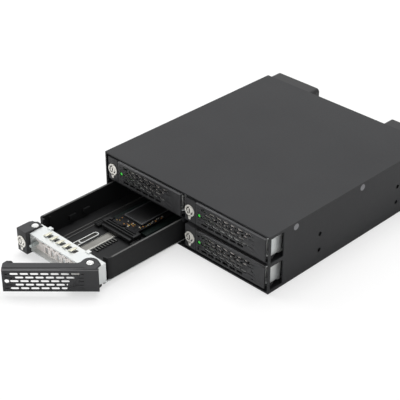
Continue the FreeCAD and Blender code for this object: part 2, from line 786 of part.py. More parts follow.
def drive_clip():
    """Sliding bracket that holds the drive's front end, with grip pads and feet."""
    rear = f"({drive_front} + clip_overlap)"
    clip_front = f"({rear} - clip_depth)"
    low = f"({floor_top} + clip_clearance)"
    parts = [box("clip_bar", ("drive_line - clip_width / 2", clip_front, low),
                 ("clip_width", "clip_depth", "clip_height"))]
    for side, x in (("left", "drive_line - clip_width / 2 - pad_width"),
                    ("right", "drive_line + clip_width / 2")):
        parts.append(box(f"clip_pad_{side}", (x, f"{clip_front} - pad_lead", low),
                         ("pad_width", "pad_depth", "pad_height")))
        parts.append(box(f"clip_foot_{side}", (x, f"{clip_front} - pad_lead", f"{floor_top} + proud"),
                         ("pad_width - foot_inset", "pad_depth", "clip_clearance - proud")))
    tools = [box("drive_seat", ("drive_line - drive_width / 2 - seat_play", f"{drive_front} - seat_play",
                                f"{drive_bottom} - drive_play"),
                 ("drive_width + 2 * seat_play", "clip_overlap + seat_play + seat_extra",
                  "clip_height + 2"))]
    for number in range(2):
        slot_front = f"{clip_front} + clip_slot_first + {number} * clip_slot_pitch"
        tools.append(box(f"clip_slot_{number}",
                         ("drive_line - clip_width / 2 + clip_slot_inset", slot_front,
                          f"{low} + clip_height - clip_slot_depth"),
                         ("clip_width - 2 * clip_slot_inset", "clip_slot_width", "clip_slot_depth + 1")))
    return cut("drive_clip", fuse("clip_whole", parts), tools)


def side_holes(name, x, direction):
    """The four screw holes of one side of the bay."""
    holes = []
    for row in range(2):
        for column in range(2):
            at = (x, f"{front} + side_hole_first + {column} * side_hole_spacing",
                  f"side_hole_low + {row} * side_hole_rise")
            holes.append(rod(f"{name}_{row}_{column}", at, "screw_hole_radius", "4", direction))
    return holes


def cover_screw_places():
    for side in (-1, 1):
        for number, y in enumerate(("cover_screw_front", "cover_screw_middle", "cover_screw_rear")):
            yield side, number, y


def swing_cutouts(name, x, width, start):
    """Cut-outs near the front of a wall, one for each row, that let a latch's end swing through."""
    return [box(f"{name}_{row}",
                (x, f"{front} + {start}", f"first_row + {row} * row_pitch - notch_height / 2"),
                (width, f"notch_depth - ({start})", "notch_height")) for row in range(2)]


def guides(name, level):
    """Low ribs that keep two trays in line, one each side of each."""
    ribs = []
    for column in (-1, 1):
        for side in (-1, 1):
            x = f"{column} * column_pitch / 2 + {side} * (tray_width / 2 + running_gap + guide_width / 2)"
            ribs.append(box(f"{name}_{column}_{side}".replace("-1", "low"),
                            (f"{x} - guide_width / 2", f"{front} + notch_depth + guide_front_gap", level),
                            ("guide_width",
                             "backplane_front - notch_depth - guide_front_gap - guide_rear_gap",
                             "guide_height")))
    return ribs


def chassis():
    """Bottom and two side walls of the cage, bent from one sheet."""
    width, wall = "cage_width", "sheet_wall"
    parts = [box("chassis_bottom", ("-cage_width / 2", front, "0"), (width, "body_depth", wall))]
    for side, x in (("left", "-cage_width / 2"), ("right", "cage_width / 2 - sheet_wall")):
        parts.append(box(f"chassis_{side}", (x, front, "0"),
                         (wall, "body_depth", "cage_height - sheet_wall")))
    parts += guides("floor_guide", wall)
    tools = side_holes("hole_left", "-cage_width / 2 - 1", along_x)
    tools += side_holes("hole_right", "cage_width / 2 - 3", along_x)
    for row in range(2):
        for column in (-1, 1):
            tools.append(rod(f"bottom_hole_{row}_{column}".replace("-1", "low"),
                             (f"{column} * bottom_hole_spacing / 2",
                              f"{front} + side_hole_first + {row} * side_hole_spacing", "-1"),
                             "screw_hole_radius", "4"))
    tools += swing_cutouts("window_right", "cage_width / 2 - sheet_wall - 1", "sheet_wall + 2", "rim_strip")
    for side, number, y in cover_screw_places():
        tag = f"{'left' if side < 0 else 'right'}_{number}"
        turn = along_x if side < 0 else Rotation(Vector(0, 1, 0), -90)
        tools.append(cone(f"countersink_{tag}",
                          (f"{side} * cage_width / 2", f"{front} + {y}", "cover_screw_rise"),
                          "cover_screw_head", "cover_screw_radius", "sheet_wall", turn))
    return cut("chassis", fuse("chassis_whole", parts), tools)


def top_cover():
    """Lid on the side walls, with lips inside them that take its screws."""
    lid = "cage_height - sheet_wall"
    parts = [box("cover_lid", ("-cage_width / 2", front, lid), ("cage_width", "body_depth", "sheet_wall"))]
    for side, x in (("left", "sheet_wall - cage_width / 2"), ("right", "cage_width / 2 - 2 * sheet_wall")):
        parts.append(box(f"cover_lip_{side}", (x, f"{front} + cover_lip_front", f"{lid} - cover_lip"),
                         ("sheet_wall", "backplane_front - cover_lip_front - rear_play", "cover_lip")))
    tools = []
    for side, number, y in cover_screw_places():
        tag = f"{'left' if side < 0 else 'right'}_{number}"
        turn = along_x if side < 0 else Rotation(Vector(0, 1, 0), -90)
        tools.append(rod(f"lip_hole_{tag}",
                         (f"{side} * cage_width / 2", f"{front} + {y}", "cover_screw_rise"),
                         "cover_screw_radius", "2 * sheet_wall + 1", turn))
    return cut("top_cover", fuse("cover_whole", parts), tools)


def centre_divider():
    """Upright wall between the columns, notched at the front."""
    wall = box("divider_wall", ("-sheet_wall / 2", front, "sheet_wall"),
               ("sheet_wall", "backplane_front - rear_play", "cage_height - 2 * sheet_wall"))
    return cut("centre_divider", wall, swing_cutouts("notch_middle", "-sheet_wall / 2 - 1",
                                                       "sheet_wall + 2", "-1"))


def mid_shelves():
    """The two shelves that carry the upper trays, each hung on a side wall and the divider."""
    top = "(first_row + row_pitch - tray_below - running_gap)"
    shelves = []
    for side in (-1, 1):
        tag = "left" if side < 0 else "right"
        inner, outer = "(sheet_wall / 2)", "(cage_width / 2 - sheet_wall)"
        low_x = inner if side > 0 else f"-{outer}"
        reach = f"{outer} - {inner}"
        flat = box(f"shelf_{tag}_flat", (low_x, f"{front} + shelf_front", f"{top} - sheet_wall"),
                   (reach, "backplane_front - shelf_front - rear_play", "sheet_wall"))
        flange_x = f"{outer} - sheet_wall" if side > 0 else f"-{outer}"
        flange = box(f"shelf_{tag}_flange",
                     (flange_x, f"{front} + cover_lip_front", f"{top} - shelf_flange"),
                     ("sheet_wall", "backplane_front - cover_lip_front - rear_play", "shelf_flange"))
        ribs = [rib for rib in guides(f"shelf_{tag}_guide", top) if ("_low_" in rib.Name) == (side < 0)]
        shelves.append(fuse(f"shelf_{tag}", [flat, flange] + ribs))
    return group("mid_shelves", shelves)


def tray_places():
    """Name, column, row and how far each tray is drawn out."""
    yield "upper_left", -1, 1, False
    yield "upper_right", 1, 1, False
    yield "lower_left", -1, 0, True
    yield "lower_right", 1, 0, False


def tray_centre(column, row):
    return f"{column} * column_pitch / 2", f"first_row + {row} * row_pitch"


def backplane():
    """Circuit board across the cage behind the trays, with windows for the air."""
    board = box("backplane_sheet_piece", ("sheet_wall + backplane_margin - cage_width / 2",
                                          f"{front} + backplane_front", "sheet_wall"),
                ("cage_width - 2 * sheet_wall - 2 * backplane_margin", "backplane_sheet",
                 "cage_height - 2 * sheet_wall - backplane_margin"))
    windows = []
    for name, column, row, _ in tray_places():
        x, z = tray_centre(column, row)
        for side in (-1, 1):
            windows.append(box(f"window_{name}_{side}".replace("-1", "low"),
                               (f"{x} + {side} * window_offset - window_width / 2",
                                f"{front} + backplane_front - 1", f"{z} - window_height / 2"),
                               ("window_width", "backplane_sheet + 2", "window_height")))
    return cut("backplane", board, windows)


def backplane_sockets():
    """Four sockets on the backplane that take the trays' plugs."""
    shells = []
    low = f"({board_bottom} - socket_wall - running_gap)"
    for name, column, row, _ in tray_places():
        x, z = tray_centre(column, row)
        outer = box(f"socket_{name}_outer",
                    (f"{x} + drive_line - plug_width / 2 - socket_wall - running_gap",
                     f"{front} + backplane_front - socket_depth", f"{z} + {low}"),
                    ("plug_width + 2 * socket_wall + 2 * running_gap", "socket_depth",
                     "plug_height + 2 * socket_wall + 2 * running_gap"))
        hollow = box(f"socket_{name}_hollow",
                     (f"{x} + drive_line - plug_width / 2 - running_gap",
                      f"{front} + backplane_front - socket_depth - 1", f"{z} + {low} + socket_wall"),
                     ("plug_width + 2 * running_gap", "socket_depth", "plug_height + 2 * running_gap"))
        shells.append(cut(f"socket_{name}", outer, [hollow]))
    return group("backplane_sockets", shells)


rear_inside = f"({front} + body_depth - sheet_wall)"
board_rear = f"({front} + backplane_front + backplane_sheet)"
middle = "(cage_height / 2)"


def host_places():
    for column in range(2):
        for row in (-1, 1):
            tag = f"{column}_{'low' if row < 0 else 'high'}"
            yield tag, f"(host_first + {column} * host_pitch)", f"({middle} + {row} * rear_row_offset)"


def power_places():
    for row in (-1, 1):
        yield "low" if row < 0 else "high", "power_x", f"({middle} + {row} * rear_row_offset)"


def connector(name, at, width, height, cavity, tongue=None):
    """A rear socket: a walled shell on the backplane that opens to the rear."""
    x, z = at
    reach = f"({front} + body_depth + rear_reach - {board_rear})"
    outer = box(name + "_outer", (f"{x} - {width} / 2", board_rear, f"{z} - {height} / 2"),
                (width, reach, height))
    hollow = box(name + "_hollow", (f"{x} - {width} / 2 + host_wall", f"{board_rear} + {reach} - {cavity}",
                                    f"{z} - {height} / 2 + host_wall"),
                 (f"{width} - 2 * host_wall", f"{cavity} + 1", f"{height} - 2 * host_wall"))
    shell = cut(name + "_shell", outer, [hollow])
    if tongue is None:
        return shell
    blade = box(name + "_tongue",
                (f"{x} - {width} / 2 + 2 * host_wall", f"{board_rear} + {reach} - {cavity} - tongue_seat",
                 f"{z} - {tongue} / 2"),
                (f"{width} - 4 * host_wall", f"{cavity} + tongue_seat - tongue_setback", tongue))
    return fuse(name, [shell, blade])


def rear_panel():
    """Rear wall with the fans' openings and the cut-outs for the sockets and the switch."""
    wall = box("rear_wall", ("sheet_wall - cage_width / 2", rear_inside, "sheet_wall"),
               ("cage_width - 2 * sheet_wall", "sheet_wall", "cage_height - 2 * sheet_wall"))
    through = "sheet_wall + 2"
    tools = []
    for side in (-1, 1):
        tag = "left" if side < 0 else "right"
        tools.append(rod(f"fan_opening_{tag}", (f"{side} * fan_x", f"{rear_inside} - 1", middle),
                         "fan_bore - panel_overlap",
                         through, along_y))
        for corner, (dx, dz) in enumerate(((-1, -1), (1, -1), (-1, 1), (1, 1))):
            tools.append(rod(f"panel_screw_{tag}_{corner}",
                             (f"{side} * fan_x + {dx} * fan_hole_spacing / 2", f"{rear_inside} - 1",
                              f"{middle} + {dz} * fan_hole_spacing / 2"), "fan_screw_radius", through,
                             along_y))
    gap = "running_gap"
    for tag, x, z in host_places():
        tools.append(box(f"host_cutout_{tag}", (f"{x} - host_width / 2 - {gap}", f"{rear_inside} - 1",
                                                f"{z} - host_height / 2 - {gap}"),
                         (f"host_width + 2 * {gap}", through, f"host_height + 2 * {gap}")))
    for tag, x, z in power_places():
        tools.append(box(f"power_cutout_{tag}", (f"{x} - power_width / 2 - {gap}", f"{rear_inside} - 1",
                                                 f"{z} - power_height / 2 - {gap}"),
                         (f"power_width + 2 * {gap}", through, f"power_height + 2 * {gap}")))
    tools.append(box("switch_cutout",
                     (f"power_x - knob_width / 2 - switch_travel - {gap}", f"{rear_inside} - 1",
                      f"{middle} - knob_height / 2 - {gap}"),
                     (f"knob_width + 2 * switch_travel + 2 * {gap}", through, f"knob_height + 2 * {gap}")))
    return cut("rear_panel", wall, tools)


def fan_frame():
    """Square fan housing about its axis: round duct, struts, motor plate and bearing tube."""
    half, depth = "fan_size / 2", "fan_depth"
    block = box("fan_block", (f"-{half}", "0", f"-{half}"), ("fan_size", depth, "fan_size"))
    doc.recompute()
    lengthwise = [n for n, edge in enumerate(block.Shape.Edges, start=1)
                  if abs(edge.Vertexes[0].Y - edge.Vertexes[-1].Y) > 1]
    soft = doc.addObject("Part::Fillet", "fan_block_soft")
    soft.Base = block
    soft.Edges = [(n, sizes["fan_corner"], sizes["fan_corner"]) for n in lengthwise]
    tools = [rod("duct", ("0", "-1", "0"), "fan_bore", f"{depth} + 2", along_y)]
    for corner, (dx, dz) in enumerate(((-1, -1), (1, -1), (-1, 1), (1, 1))):
        tools.append(rod(f"fan_corner_hole_{corner}", (f"{dx} * fan_hole_spacing / 2", "-1",
                                                       f"{dz} * fan_hole_spacing / 2"),
                         "fan_screw_radius", f"{depth} + 2", along_y))
    duct = cut("duct_block", soft, tools)
    plate_front = f"({depth} - motor_plate)"
    inside = [rod("motor_disc", ("0", plate_front, "0"), "motor_radius", "motor_plate", along_y),
              rod("bearing_tube", ("0", "hub_setback + bearing_gap", "0"), "bearing_radius",
                  f"{depth} - hub_setback - bearing_gap - motor_plate", along_y),
              box("strut_across", ("-fan_bore - strut_seat", plate_front, "-strut_width / 2"),
                  ("2 * fan_bore + 2 * strut_seat", "motor_plate", "strut_width")),
              box("strut_upright", ("-strut_width / 2", plate_front, "-fan_bore - strut_seat"),
                  ("strut_width", "motor_plate", "2 * fan_bore + 2 * strut_seat"))]
    bearing = rod("bearing_bore", ("0", "-1", "0"), "shaft_radius + pin_play",
                  f"{depth} - motor_plate + 1", along_y)
    return cut("fan_frame", fuse("fan_whole", [duct] + inside), [bearing])


def fan_rotor():
    """Fan wheel about its axis: cup-shaped hub with shaft and seven pitched blades."""
    body = doc.addObject("PartDesign::Body", "fan_rotor_form")
    half = "blade_chord / 2"
    thin = "blade_thickness / 2"

    def blade_section(name, pitch, offset):
        lead = (f"{half} * cos({pitch})", f"{half} * sin({pitch})")
        rise = (f"{thin} * sin({pitch})", f"{thin} * cos({pitch})")
        depth = "(hub_setback + hub_depth / 2)"
        points = [(f"{depth} - {lead[1]} + {sign[0]} * {rise[1]}", f"-({lead[0]}) + {sign[0]} * {rise[0]}")
                  for sign in ((-1,), (1,))]
        points += [(f"{depth} + {lead[1]} + {sign[0]} * {rise[1]}", f"{lead[0]} + {sign[0]} * {rise[0]}")
                   for sign in ((1,), (-1,))]
        return closed_outline(body, name, "YZ_Plane", points, offset)

    hub_sketch = closed_outline(body, "hub_section", "XY_Plane", [
        ("0", "hub_setback"), ("hub_radius - hub_wall", "hub_setback"),
        ("hub_radius", "hub_setback + hub_wall"),
        ("hub_radius", "hub_setback + hub_depth"), ("hub_radius - hub_wall", "hub_setback + hub_depth"),
        ("hub_radius - hub_wall", "hub_setback + hub_face"), ("shaft_radius", "hub_setback + hub_face"),
        ("shaft_radius", "fan_depth - motor_plate - shaft_play"),
        ("0", "fan_depth - motor_plate - shaft_play")])
    hub = body.newObject("PartDesign::Revolution", "hub")
    hub.Profile = hub_sketch
    hub.ReferenceAxis = (hub_sketch, ["V_Axis"])
    hub.Angle = 360
    doc.recompute()
    root = blade_section("blade_root_section", "blade_root_pitch", "blade_root")
    tip = blade_section("blade_tip_section", "blade_tip_pitch", "blade_tip")
    blade = body.newObject("PartDesign::AdditiveLoft", "blade")
    blade.Profile = root
    blade.Sections = [tip]
    doc.recompute()
    ring = body.newObject("PartDesign::PolarPattern", "blades")
    ring.Originals = [blade]
    ring.Axis = (hub_sketch, ["V_Axis"])
    ring.Angle = 360
    ring.Occurrences = int(sizes["blade_count"])
    body.Tip = ring
    return body


def fan_switch():
    """Slide switch body on the inside of the rear panel, open to the rear for its slider."""
    outer = box("switch_outer", ("power_x - switch_width / 2", f"{rear_inside} - switch_depth",
                                 f"{middle} - switch_height / 2"),
                ("switch_width", "switch_depth", "switch_height"))
    gap = "running_gap"
    track = box("switch_track", (f"power_x - knob_width / 2 - switch_travel - {gap}",
                                 f"{rear_inside} - switch_depth + switch_back",
                                 f"{middle} - knob_height / 2 - {gap}"),
                (f"knob_width + 2 * switch_travel + 2 * {gap}", "switch_depth", f"knob_height + 2 * {gap}"))
    return cut("fan_switch", outer, [track])


def fan_switch_slider():
    """Finger piece of the slide switch."""
    return box("fan_switch_slider",
               ("power_x - knob_width / 2", f"{rear_inside} - switch_depth + switch_back + knob_play",
                f"{middle} - knob_height / 2"),
               ("knob_width", "switch_depth - switch_back - knob_play + sheet_wall + knob_reach",
                "knob_height"))


def screws():
    """Flush screws of the cover and round-headed screws of the fans."""
    pieces = []
    for side, number, y in cover_screw_places():
        tag = f"{'left' if side < 0 else 'right'}_{number}"
        turn = along_x if side < 0 else Rotation(Vector(0, 1, 0), -90)
        at = (f"{side} * cage_width / 2", f"{front} + {y}", "cover_screw_rise")
        head = cone(f"cover_screw_head_{tag}", at, "cover_screw_head", "cover_screw_radius", "sheet_wall",
                    turn)
        stem = rod(f"cover_screw_stem_{tag}", at, "cover_screw_radius", "2 * sheet_wall", turn)
        pieces.append(fuse(f"cover_screw_{tag}", [head, stem]))
    for side in (-1, 1):
        for corner, (dx, dz) in enumerate(((-1, -1), (1, -1), (-1, 1), (1, 1))):
            tag = f"{'left' if side < 0 else 'right'}_{corner}"
            x = f"{side} * fan_x + {dx} * fan_hole_spacing / 2"
            z = f"{middle} + {dz} * fan_hole_spacing / 2"
            start = f"{front} + body_depth + fan_depth"
            stem = rod(f"fan_screw_stem_{tag}", (x, f"{rear_inside} - 1", z), "fan_screw_radius",
                       "fan_depth + sheet_wall + 1", along_y)
            head = rod(f"fan_screw_head_{tag}", (x, start, z), "fan_screw_head", "fan_screw_cap", along_y)
            pieces.append(fuse(f"fan_screw_{tag}", [stem, head]))
    return group("screws", pieces)


# Cage
for build in (chassis, top_cover, centre_divider, mid_shelves, backplane, backplane_sockets,
              rear_panel, fan_switch, fan_switch_slider, screws):
    keep(build.__name__, build())
keep("host_sockets", group("host_sockets", [
    connector(f"host_{tag}", (x, z), "host_width", "host_height", "host_cavity") for tag, x,
    z in host_places()]))
keep("power_sockets", group("power_sockets", [
    connector(f"power_{tag}", (x, z), "power_width", "power_height", "host_cavity", "power_tongue")
    for tag, x, z in power_places()]))

frame_form = fan_frame()
rotor_form = fan_rotor()
fan_places = {"left": "-fan_x", "right": "fan_x"}
fan_front = f"{front} + body_depth"
keep("fan_frames", group("fan_frames", [
    copy(f"fan_frame_{tag}", frame_form, (x, fan_front, middle)) for tag, x in fan_places.items()]))
for tag, x in fan_places.items():
    keep(f"fan_rotor_{tag}", copy(f"fan_rotor_{tag}", rotor_form, (x, fan_front, middle)))

# Trays
fixed_forms = {form.__name__: form() for form in (tray_pan, tray_shell, vent_plate, pins, light_pipe,
                                                  adapter_board, drive, drive_clip)}
latch_form, block_form, core_form = latch(), lock_block(), lock_core()
for place_name, column, row, drawn in tray_places():
    x, z = tray_centre(column, row)
    y = f"{front} - pull_out" if drawn else front
    for form_name, form in fixed_forms.items():
        label = f"{form_name}_{place_name}"
        keep(label, copy(label, form, (x, y, z)))
    turned = Rotation(Vector(0, 0, 1), sizes["latch_open"] if drawn else 0)
    keep(f"latch_{place_name}", copy(f"latch_{place_name}", latch_form,
                                     (f"{x} + hinge_x", f"{y} + hinge_y", z), turned))
    keep(f"lock_block_{place_name}", copy(f"lock_block_{place_name}", block_form,
                                          (f"{x} - block_pin_x", f"{y} + block_pin_y", z)))
    keep(f"lock_core_{place_name}",
         copy(f"lock_core_{place_name}", core_form, (f"{x} - lock_x", y, f"{z} + lock_z")))

doc.recompute()
for thing in doc.Objects:
    if "Invalid" in thing.State or "Error" in thing.State:
        raise ValueError(f"{thing.Name} failed: {thing.State}")
for thing in kept:
    if thing.Shape.isNull() or not thing.Shape.isValid():
        raise ValueError(thing.Label + " has no valid shape")

os.makedirs("parts", exist_ok=True)
for thing in kept:
    thing.Shape.exportStep(f"parts/{thing.Label}.step")
print(len(kept), "sub-parts written")
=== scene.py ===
import json
import math
import random

import bpy
from mathutils import Matrix, Vector


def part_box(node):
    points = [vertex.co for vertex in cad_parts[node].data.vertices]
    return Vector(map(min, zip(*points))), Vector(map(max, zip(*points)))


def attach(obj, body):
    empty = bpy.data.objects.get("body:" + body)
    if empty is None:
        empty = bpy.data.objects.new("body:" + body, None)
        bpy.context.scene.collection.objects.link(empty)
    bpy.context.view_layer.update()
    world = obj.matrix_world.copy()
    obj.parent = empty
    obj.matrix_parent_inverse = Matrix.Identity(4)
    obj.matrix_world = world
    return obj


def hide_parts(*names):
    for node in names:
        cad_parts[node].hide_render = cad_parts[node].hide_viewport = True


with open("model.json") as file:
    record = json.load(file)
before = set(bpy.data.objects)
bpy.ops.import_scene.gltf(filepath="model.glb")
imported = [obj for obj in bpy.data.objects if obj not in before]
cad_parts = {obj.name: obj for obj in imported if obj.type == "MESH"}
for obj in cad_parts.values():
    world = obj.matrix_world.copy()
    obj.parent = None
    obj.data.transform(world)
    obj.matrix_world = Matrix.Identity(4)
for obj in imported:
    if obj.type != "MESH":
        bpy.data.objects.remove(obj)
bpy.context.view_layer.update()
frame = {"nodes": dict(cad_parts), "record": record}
mm = 0.001
corners = ("upper_left", "upper_right", "lower_left", "lower_right")
openCorner = "lower_left"
openAngle = 44.5
print("frame loaded:", len(frame["nodes"]), "nodes")


# a socket that sums and products can be written with
class Socket:
    def __init__(self, finish, link):
        self.finish, self.link = finish, link

    def mathNode(self, operation, other):
        return self.finish.node("ShaderNodeMath", {"operation": operation}, {0: self, 1: other})

    def __add__(self, other): return self.mathNode("ADD", other)
    def __radd__(self, other): return self.mathNode("ADD", other)
    def __mul__(self, other): return self.mathNode("MULTIPLY", other)
    def __rmul__(self, other): return self.mathNode("MULTIPLY", other)


class Finish:
    def __init__(self, name, color, roughness, metallic=0.0, **settings):
        self.material = bpy.data.materials.new(name)
        self.material.use_nodes = True
        self.tree = self.material.node_tree
        self.shader = self.tree.nodes["Principled BSDF"]
        self.place = self.node("ShaderNodeTexCoord", out="Object")
        self.set("Base Color", (*color, 1))
        self.set("Roughness", roughness)
        self.set("Metallic", metallic)
        for socketName, value in settings.items():
            self.set(socketName.replace("_", " "), value)

    def node(self, kind, settings=None, inputs=None, out=0):
        made = self.tree.nodes.new(kind)
        for key, value in (settings or {}).items():
            setattr(made, key, value)
        for key, value in (inputs or {}).items():
            if isinstance(value, Socket):
                self.tree.links.new(value.link, made.inputs[key])
            else:
                made.inputs[key].default_value = value
        return Socket(self, made.outputs[out])

    def set(self, name, value):
        if isinstance(value, Socket):
            self.tree.links.new(value.link, self.shader.inputs[name])
        else:
            self.shader.inputs[name].default_value = value

    def noise(self, scale, detail, stretch=(1, 1, 1)):
        mapped = self.node("ShaderNodeMapping", None, {"Vector": self.place, "Scale": stretch})
        return self.node("ShaderNodeTexNoise", None,
                         {"Vector": mapped, "Scale": scale, "Detail": detail})

    def mixColors(self, factor, first, second):
        return self.node("ShaderNodeMix", {"data_type": "RGBA"},
                         {0: factor, 6: (*first, 1), 7: (*second, 1)}, out=2)

    def bump(self, height, strength, distance):
        self.set("Normal", self.node("ShaderNodeBump", None, {
            "Height": height, "Strength": strength, "Distance": distance}))


# moulded plastic: fine spark-eroded grain, slightly uneven gloss
def grainyPlastic(name, color, paler, roughness, sheen=0.3, grain=1400, strength=0.35):
    finish = Finish(name, color, roughness, Specular_IOR_Level=sheen)
    cloud = finish.noise(scale=38, detail=4)
    fine = finish.noise(scale=grain, detail=2)
    finish.set("Base Color", finish.mixColors(cloud * 0.7 + fine * 0.3, color, paler))
    finish.set("Roughness", roughness - 0.06 + cloud * 0.12)
    finish.bump(fine, strength, distance=0.00006)
    return finish.material


# powder coat with a fine orange peel
def paintedSheet():
    finish = Finish("cagePaint", (0.014, 0.0145, 0.016), 0.46, Specular_IOR_Level=0.25)
    peel = finish.noise(scale=900, detail=3)
    cloud = finish.noise(scale=22, detail=3)
    finish.set("Base Color", finish.mixColors(cloud, (0.010, 0.0105, 0.012),
                                              (0.020, 0.0205, 0.022)))
    finish.set("Roughness", 0.40 + peel * 0.14)
    finish.bump(peel, strength=0.25, distance=0.00008)
    return finish.material


# zinc plate: rolling lines along the sheet, warm and cool patches
def zincSheet(name, cool, warm, roughness=0.30, metallic=0.55):
    finish = Finish(name, cool, roughness, metallic)
    rolled = finish.noise(scale=240, detail=4, stretch=(8, 0.5, 8))
    patches = finish.noise(scale=60, detail=2)
    finish.set("Base Color", finish.mixColors(patches, cool, warm))
    finish.set("Roughness", roughness + rolled * 0.18)
    finish.bump(rolled, strength=0.12, distance=0.00004)
    return finish.material


# turned and polished, with a faint haze
def polishedMetal(name, color, roughness, metallic=1.0):
    finish = Finish(name, color, roughness, metallic)
    swirl = finish.noise(scale=1800, detail=2)
    haze = finish.noise(scale=160, detail=2)
    finish.set("Base Color", finish.mixColors(haze, tuple(c * 0.88 for c in color), color))
    finish.set("Roughness", roughness - 0.04 + swirl * 0.12)
    finish.bump(swirl, strength=0.08, distance=0.00003)
    return finish.material


def clearPipe():
    finish = Finish("clearPipe", (0.42, 0.47, 0.46), 0.22, Specular_IOR_Level=0.5)
    haze = finish.noise(scale=260, detail=2)
    finish.set("Base Color", finish.mixColors(haze, (0.34, 0.39, 0.38), (0.52, 0.57, 0.56)))
    finish.set("Roughness", 0.16 + haze * 0.16)
    return finish.material


def glowingLens():
    finish = Finish("glowingLens", (0.05, 0.45, 0.06), 0.25, Emission_Strength=0.8)
    glow = finish.noise(scale=700, detail=1)
    finish.set("Base Color", finish.mixColors(glow, (0.03, 0.35, 0.04), (0.08, 0.55, 0.08)))
    finish.set("Emission Color", finish.mixColors(glow, (0.006, 0.26, 0.008),
                                                  (0.03, 0.55, 0.03)))
    return finish.material


# circuit board: solder mask over faint raised tracks
def solderMask(name, color):
    finish = Finish(name, color, 0.30, Specular_IOR_Level=0.35)
    tracks = finish.node("ShaderNodeTexBrick", {"offset": 0.5}, {
        "Vector": finish.place, "Scale": 260.0, "Mortar Size": 0.03, "Color1": (0, 0, 0, 1),
        "Color2": (0.25, 0.25, 0.25, 1), "Mortar": (1, 1, 1, 1)}, out="Fac")
    blotch = finish.noise(scale=90, detail=3)
    finish.set("Base Color", finish.mixColors(tracks * 0.5 + blotch * 0.4, color,
                                              tuple(c * 2.0 + 0.004 for c in color)))
    finish.set("Roughness", 0.24 + blotch * 0.15)
    finish.bump(tracks, strength=0.3, distance=0.00005)
    return finish.material


# one material for each slot of the record
finishes = {
    "cage_paint": paintedSheet(),
    "tray_steel": zincSheet("zincSheet", (0.62, 0.66, 0.68), (0.74, 0.74, 0.71)),
    "tray_black": grainyPlastic("trayBlack", (0.0055, 0.0057, 0.0062), (0.011, 0.0113, 0.012),
                                0.55, sheen=0.22),
    "latch_black": grainyPlastic("latchBlack", (0.034, 0.0343, 0.036), (0.056, 0.0565, 0.059),
                                 0.55, sheen=0.22),
    "pin_steel": polishedMetal("pinSteel", (0.80, 0.80, 0.79), 0.20, metallic=0.5),
    "lock_nickel": polishedMetal("lockNickel", (0.95, 0.925, 0.86), 0.18, metallic=0.2),
    "circuit_board": solderMask("circuitBoard", (0.005, 0.009, 0.008)),
    "drive_board": solderMask("driveBoard", (0.006, 0.006, 0.007)),
    "connector_black": grainyPlastic("connectorBlack", (0.010, 0.010, 0.011),
                                     (0.018, 0.018, 0.019), 0.42),
    "socket_steel": polishedMetal("socketSteel", (0.66, 0.66, 0.64), 0.28),
    "fan_black": grainyPlastic("fanBlack", (0.011, 0.011, 0.012), (0.020, 0.020, 0.021), 0.38),
    "screw_steel": polishedMetal("screwSteel", (0.20, 0.20, 0.21), 0.34),
    "status_light": clearPipe(),
}

# materials of single pieces
lensFinish = glowingLens()
# the vent plate's zinc is partly its own pale colour and partly painted highlight, raised for glints
# seen through the latch slots
ventPlateAndGlintFinish = zincSheet("ventPlateAndGlint", (0.86, 0.83, 0.80), (0.94, 0.86, 0.82), 0.32, metallic=0.35)
# painted highlight: a paler grey for the latch doors' top slope
slopeHighlightFinish = grainyPlastic("latchSlopeHighlight", (0.10, 0.10, 0.105), (0.16, 0.16, 0.165), 0.40, sheen=0.4)
creamFinish = zincSheet("louvreSheet", (0.70, 0.68, 0.56), (0.82, 0.80, 0.66), 0.32, metallic=0.4)
# painted reflection: a darker metal for the sheet laid on the tongue
tongueReflectionFinish = zincSheet("tongueReflectionSheet", (0.16, 0.155, 0.145), (0.34, 0.335, 0.31), 0.36,
                         metallic=0.8)
# painted highlight: a lighter grey for the floor rails and the wall strips
railHighlightFinish = grainyPlastic("railHighlight", (0.050, 0.050, 0.049), (0.085, 0.085, 0.082), 0.42,
                           sheen=0.4)
# painted highlight: a light grey for the comb teeth
toothHighlightFinish = grainyPlastic("toothHighlight", (0.075, 0.076, 0.070), (0.15, 0.15, 0.135), 0.38,
                            sheen=0.5)
# painted highlight: white for the small disc near the lock tail's tip
highlightWhiteFinish = grainyPlastic("paintedHighlightWhite", (0.80, 0.80, 0.78), (0.90, 0.90, 0.88), 0.45)
# painted shade: near-black for hollows, grooves, the keyway, the louvre mouths, the loop slot and the
# ring round each pin head
paintedShadeFinish = grainyPlastic("paintedShade", (0.010, 0.010, 0.009), (0.03, 0.028, 0.024), 0.35, sheen=0.5)
labelFinish = grainyPlastic("driveLabel", (0.0050, 0.0050, 0.0055), (0.009, 0.009, 0.0095), 0.30,
                            sheen=0.4, grain=500, strength=0.1)
outlineFinish = grainyPlastic("labelOutline", (0.085, 0.09, 0.095), (0.13, 0.135, 0.14), 0.40,
                              sheen=0.3, grain=500, strength=0.1)
partFinishes = (
    polishedMetal("padGold", (0.62, 0.42, 0.14), 0.30),
    grainyPlastic("partTan", (0.30, 0.13, 0.035), (0.42, 0.20, 0.06), 0.45),
    grainyPlastic("partPale", (0.42, 0.41, 0.37), (0.60, 0.58, 0.52), 0.40),
    grainyPlastic("partDark", (0.012, 0.012, 0.013), (0.028, 0.028, 0.030), 0.35),
)

slotOf = {row["node"]: row["material_slot"] for row in frame["record"]["subparts"]}


def finishWith(piece, *materials):
    piece.data.materials.clear()
    for material in materials:
        piece.data.materials.append(material)


for name, node in frame["nodes"].items():
    finishWith(node, ventPlateAndGlintFinish if name.startswith("vent_plate") else finishes[slotOf[name]])
print("finishes:", len(finishes))


# a tray's own point: middle of its face, on the face's front plane
trayPlane = {"front": 3.0, "middle": 9.3}


def trayPoint(corner):
    low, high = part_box("tray_pan_" + corner)
    return Vector(((low[0] + high[0]) / 2, low[1] - trayPlane["front"] * mm,
                   low[2] + trayPlane["middle"] * mm))


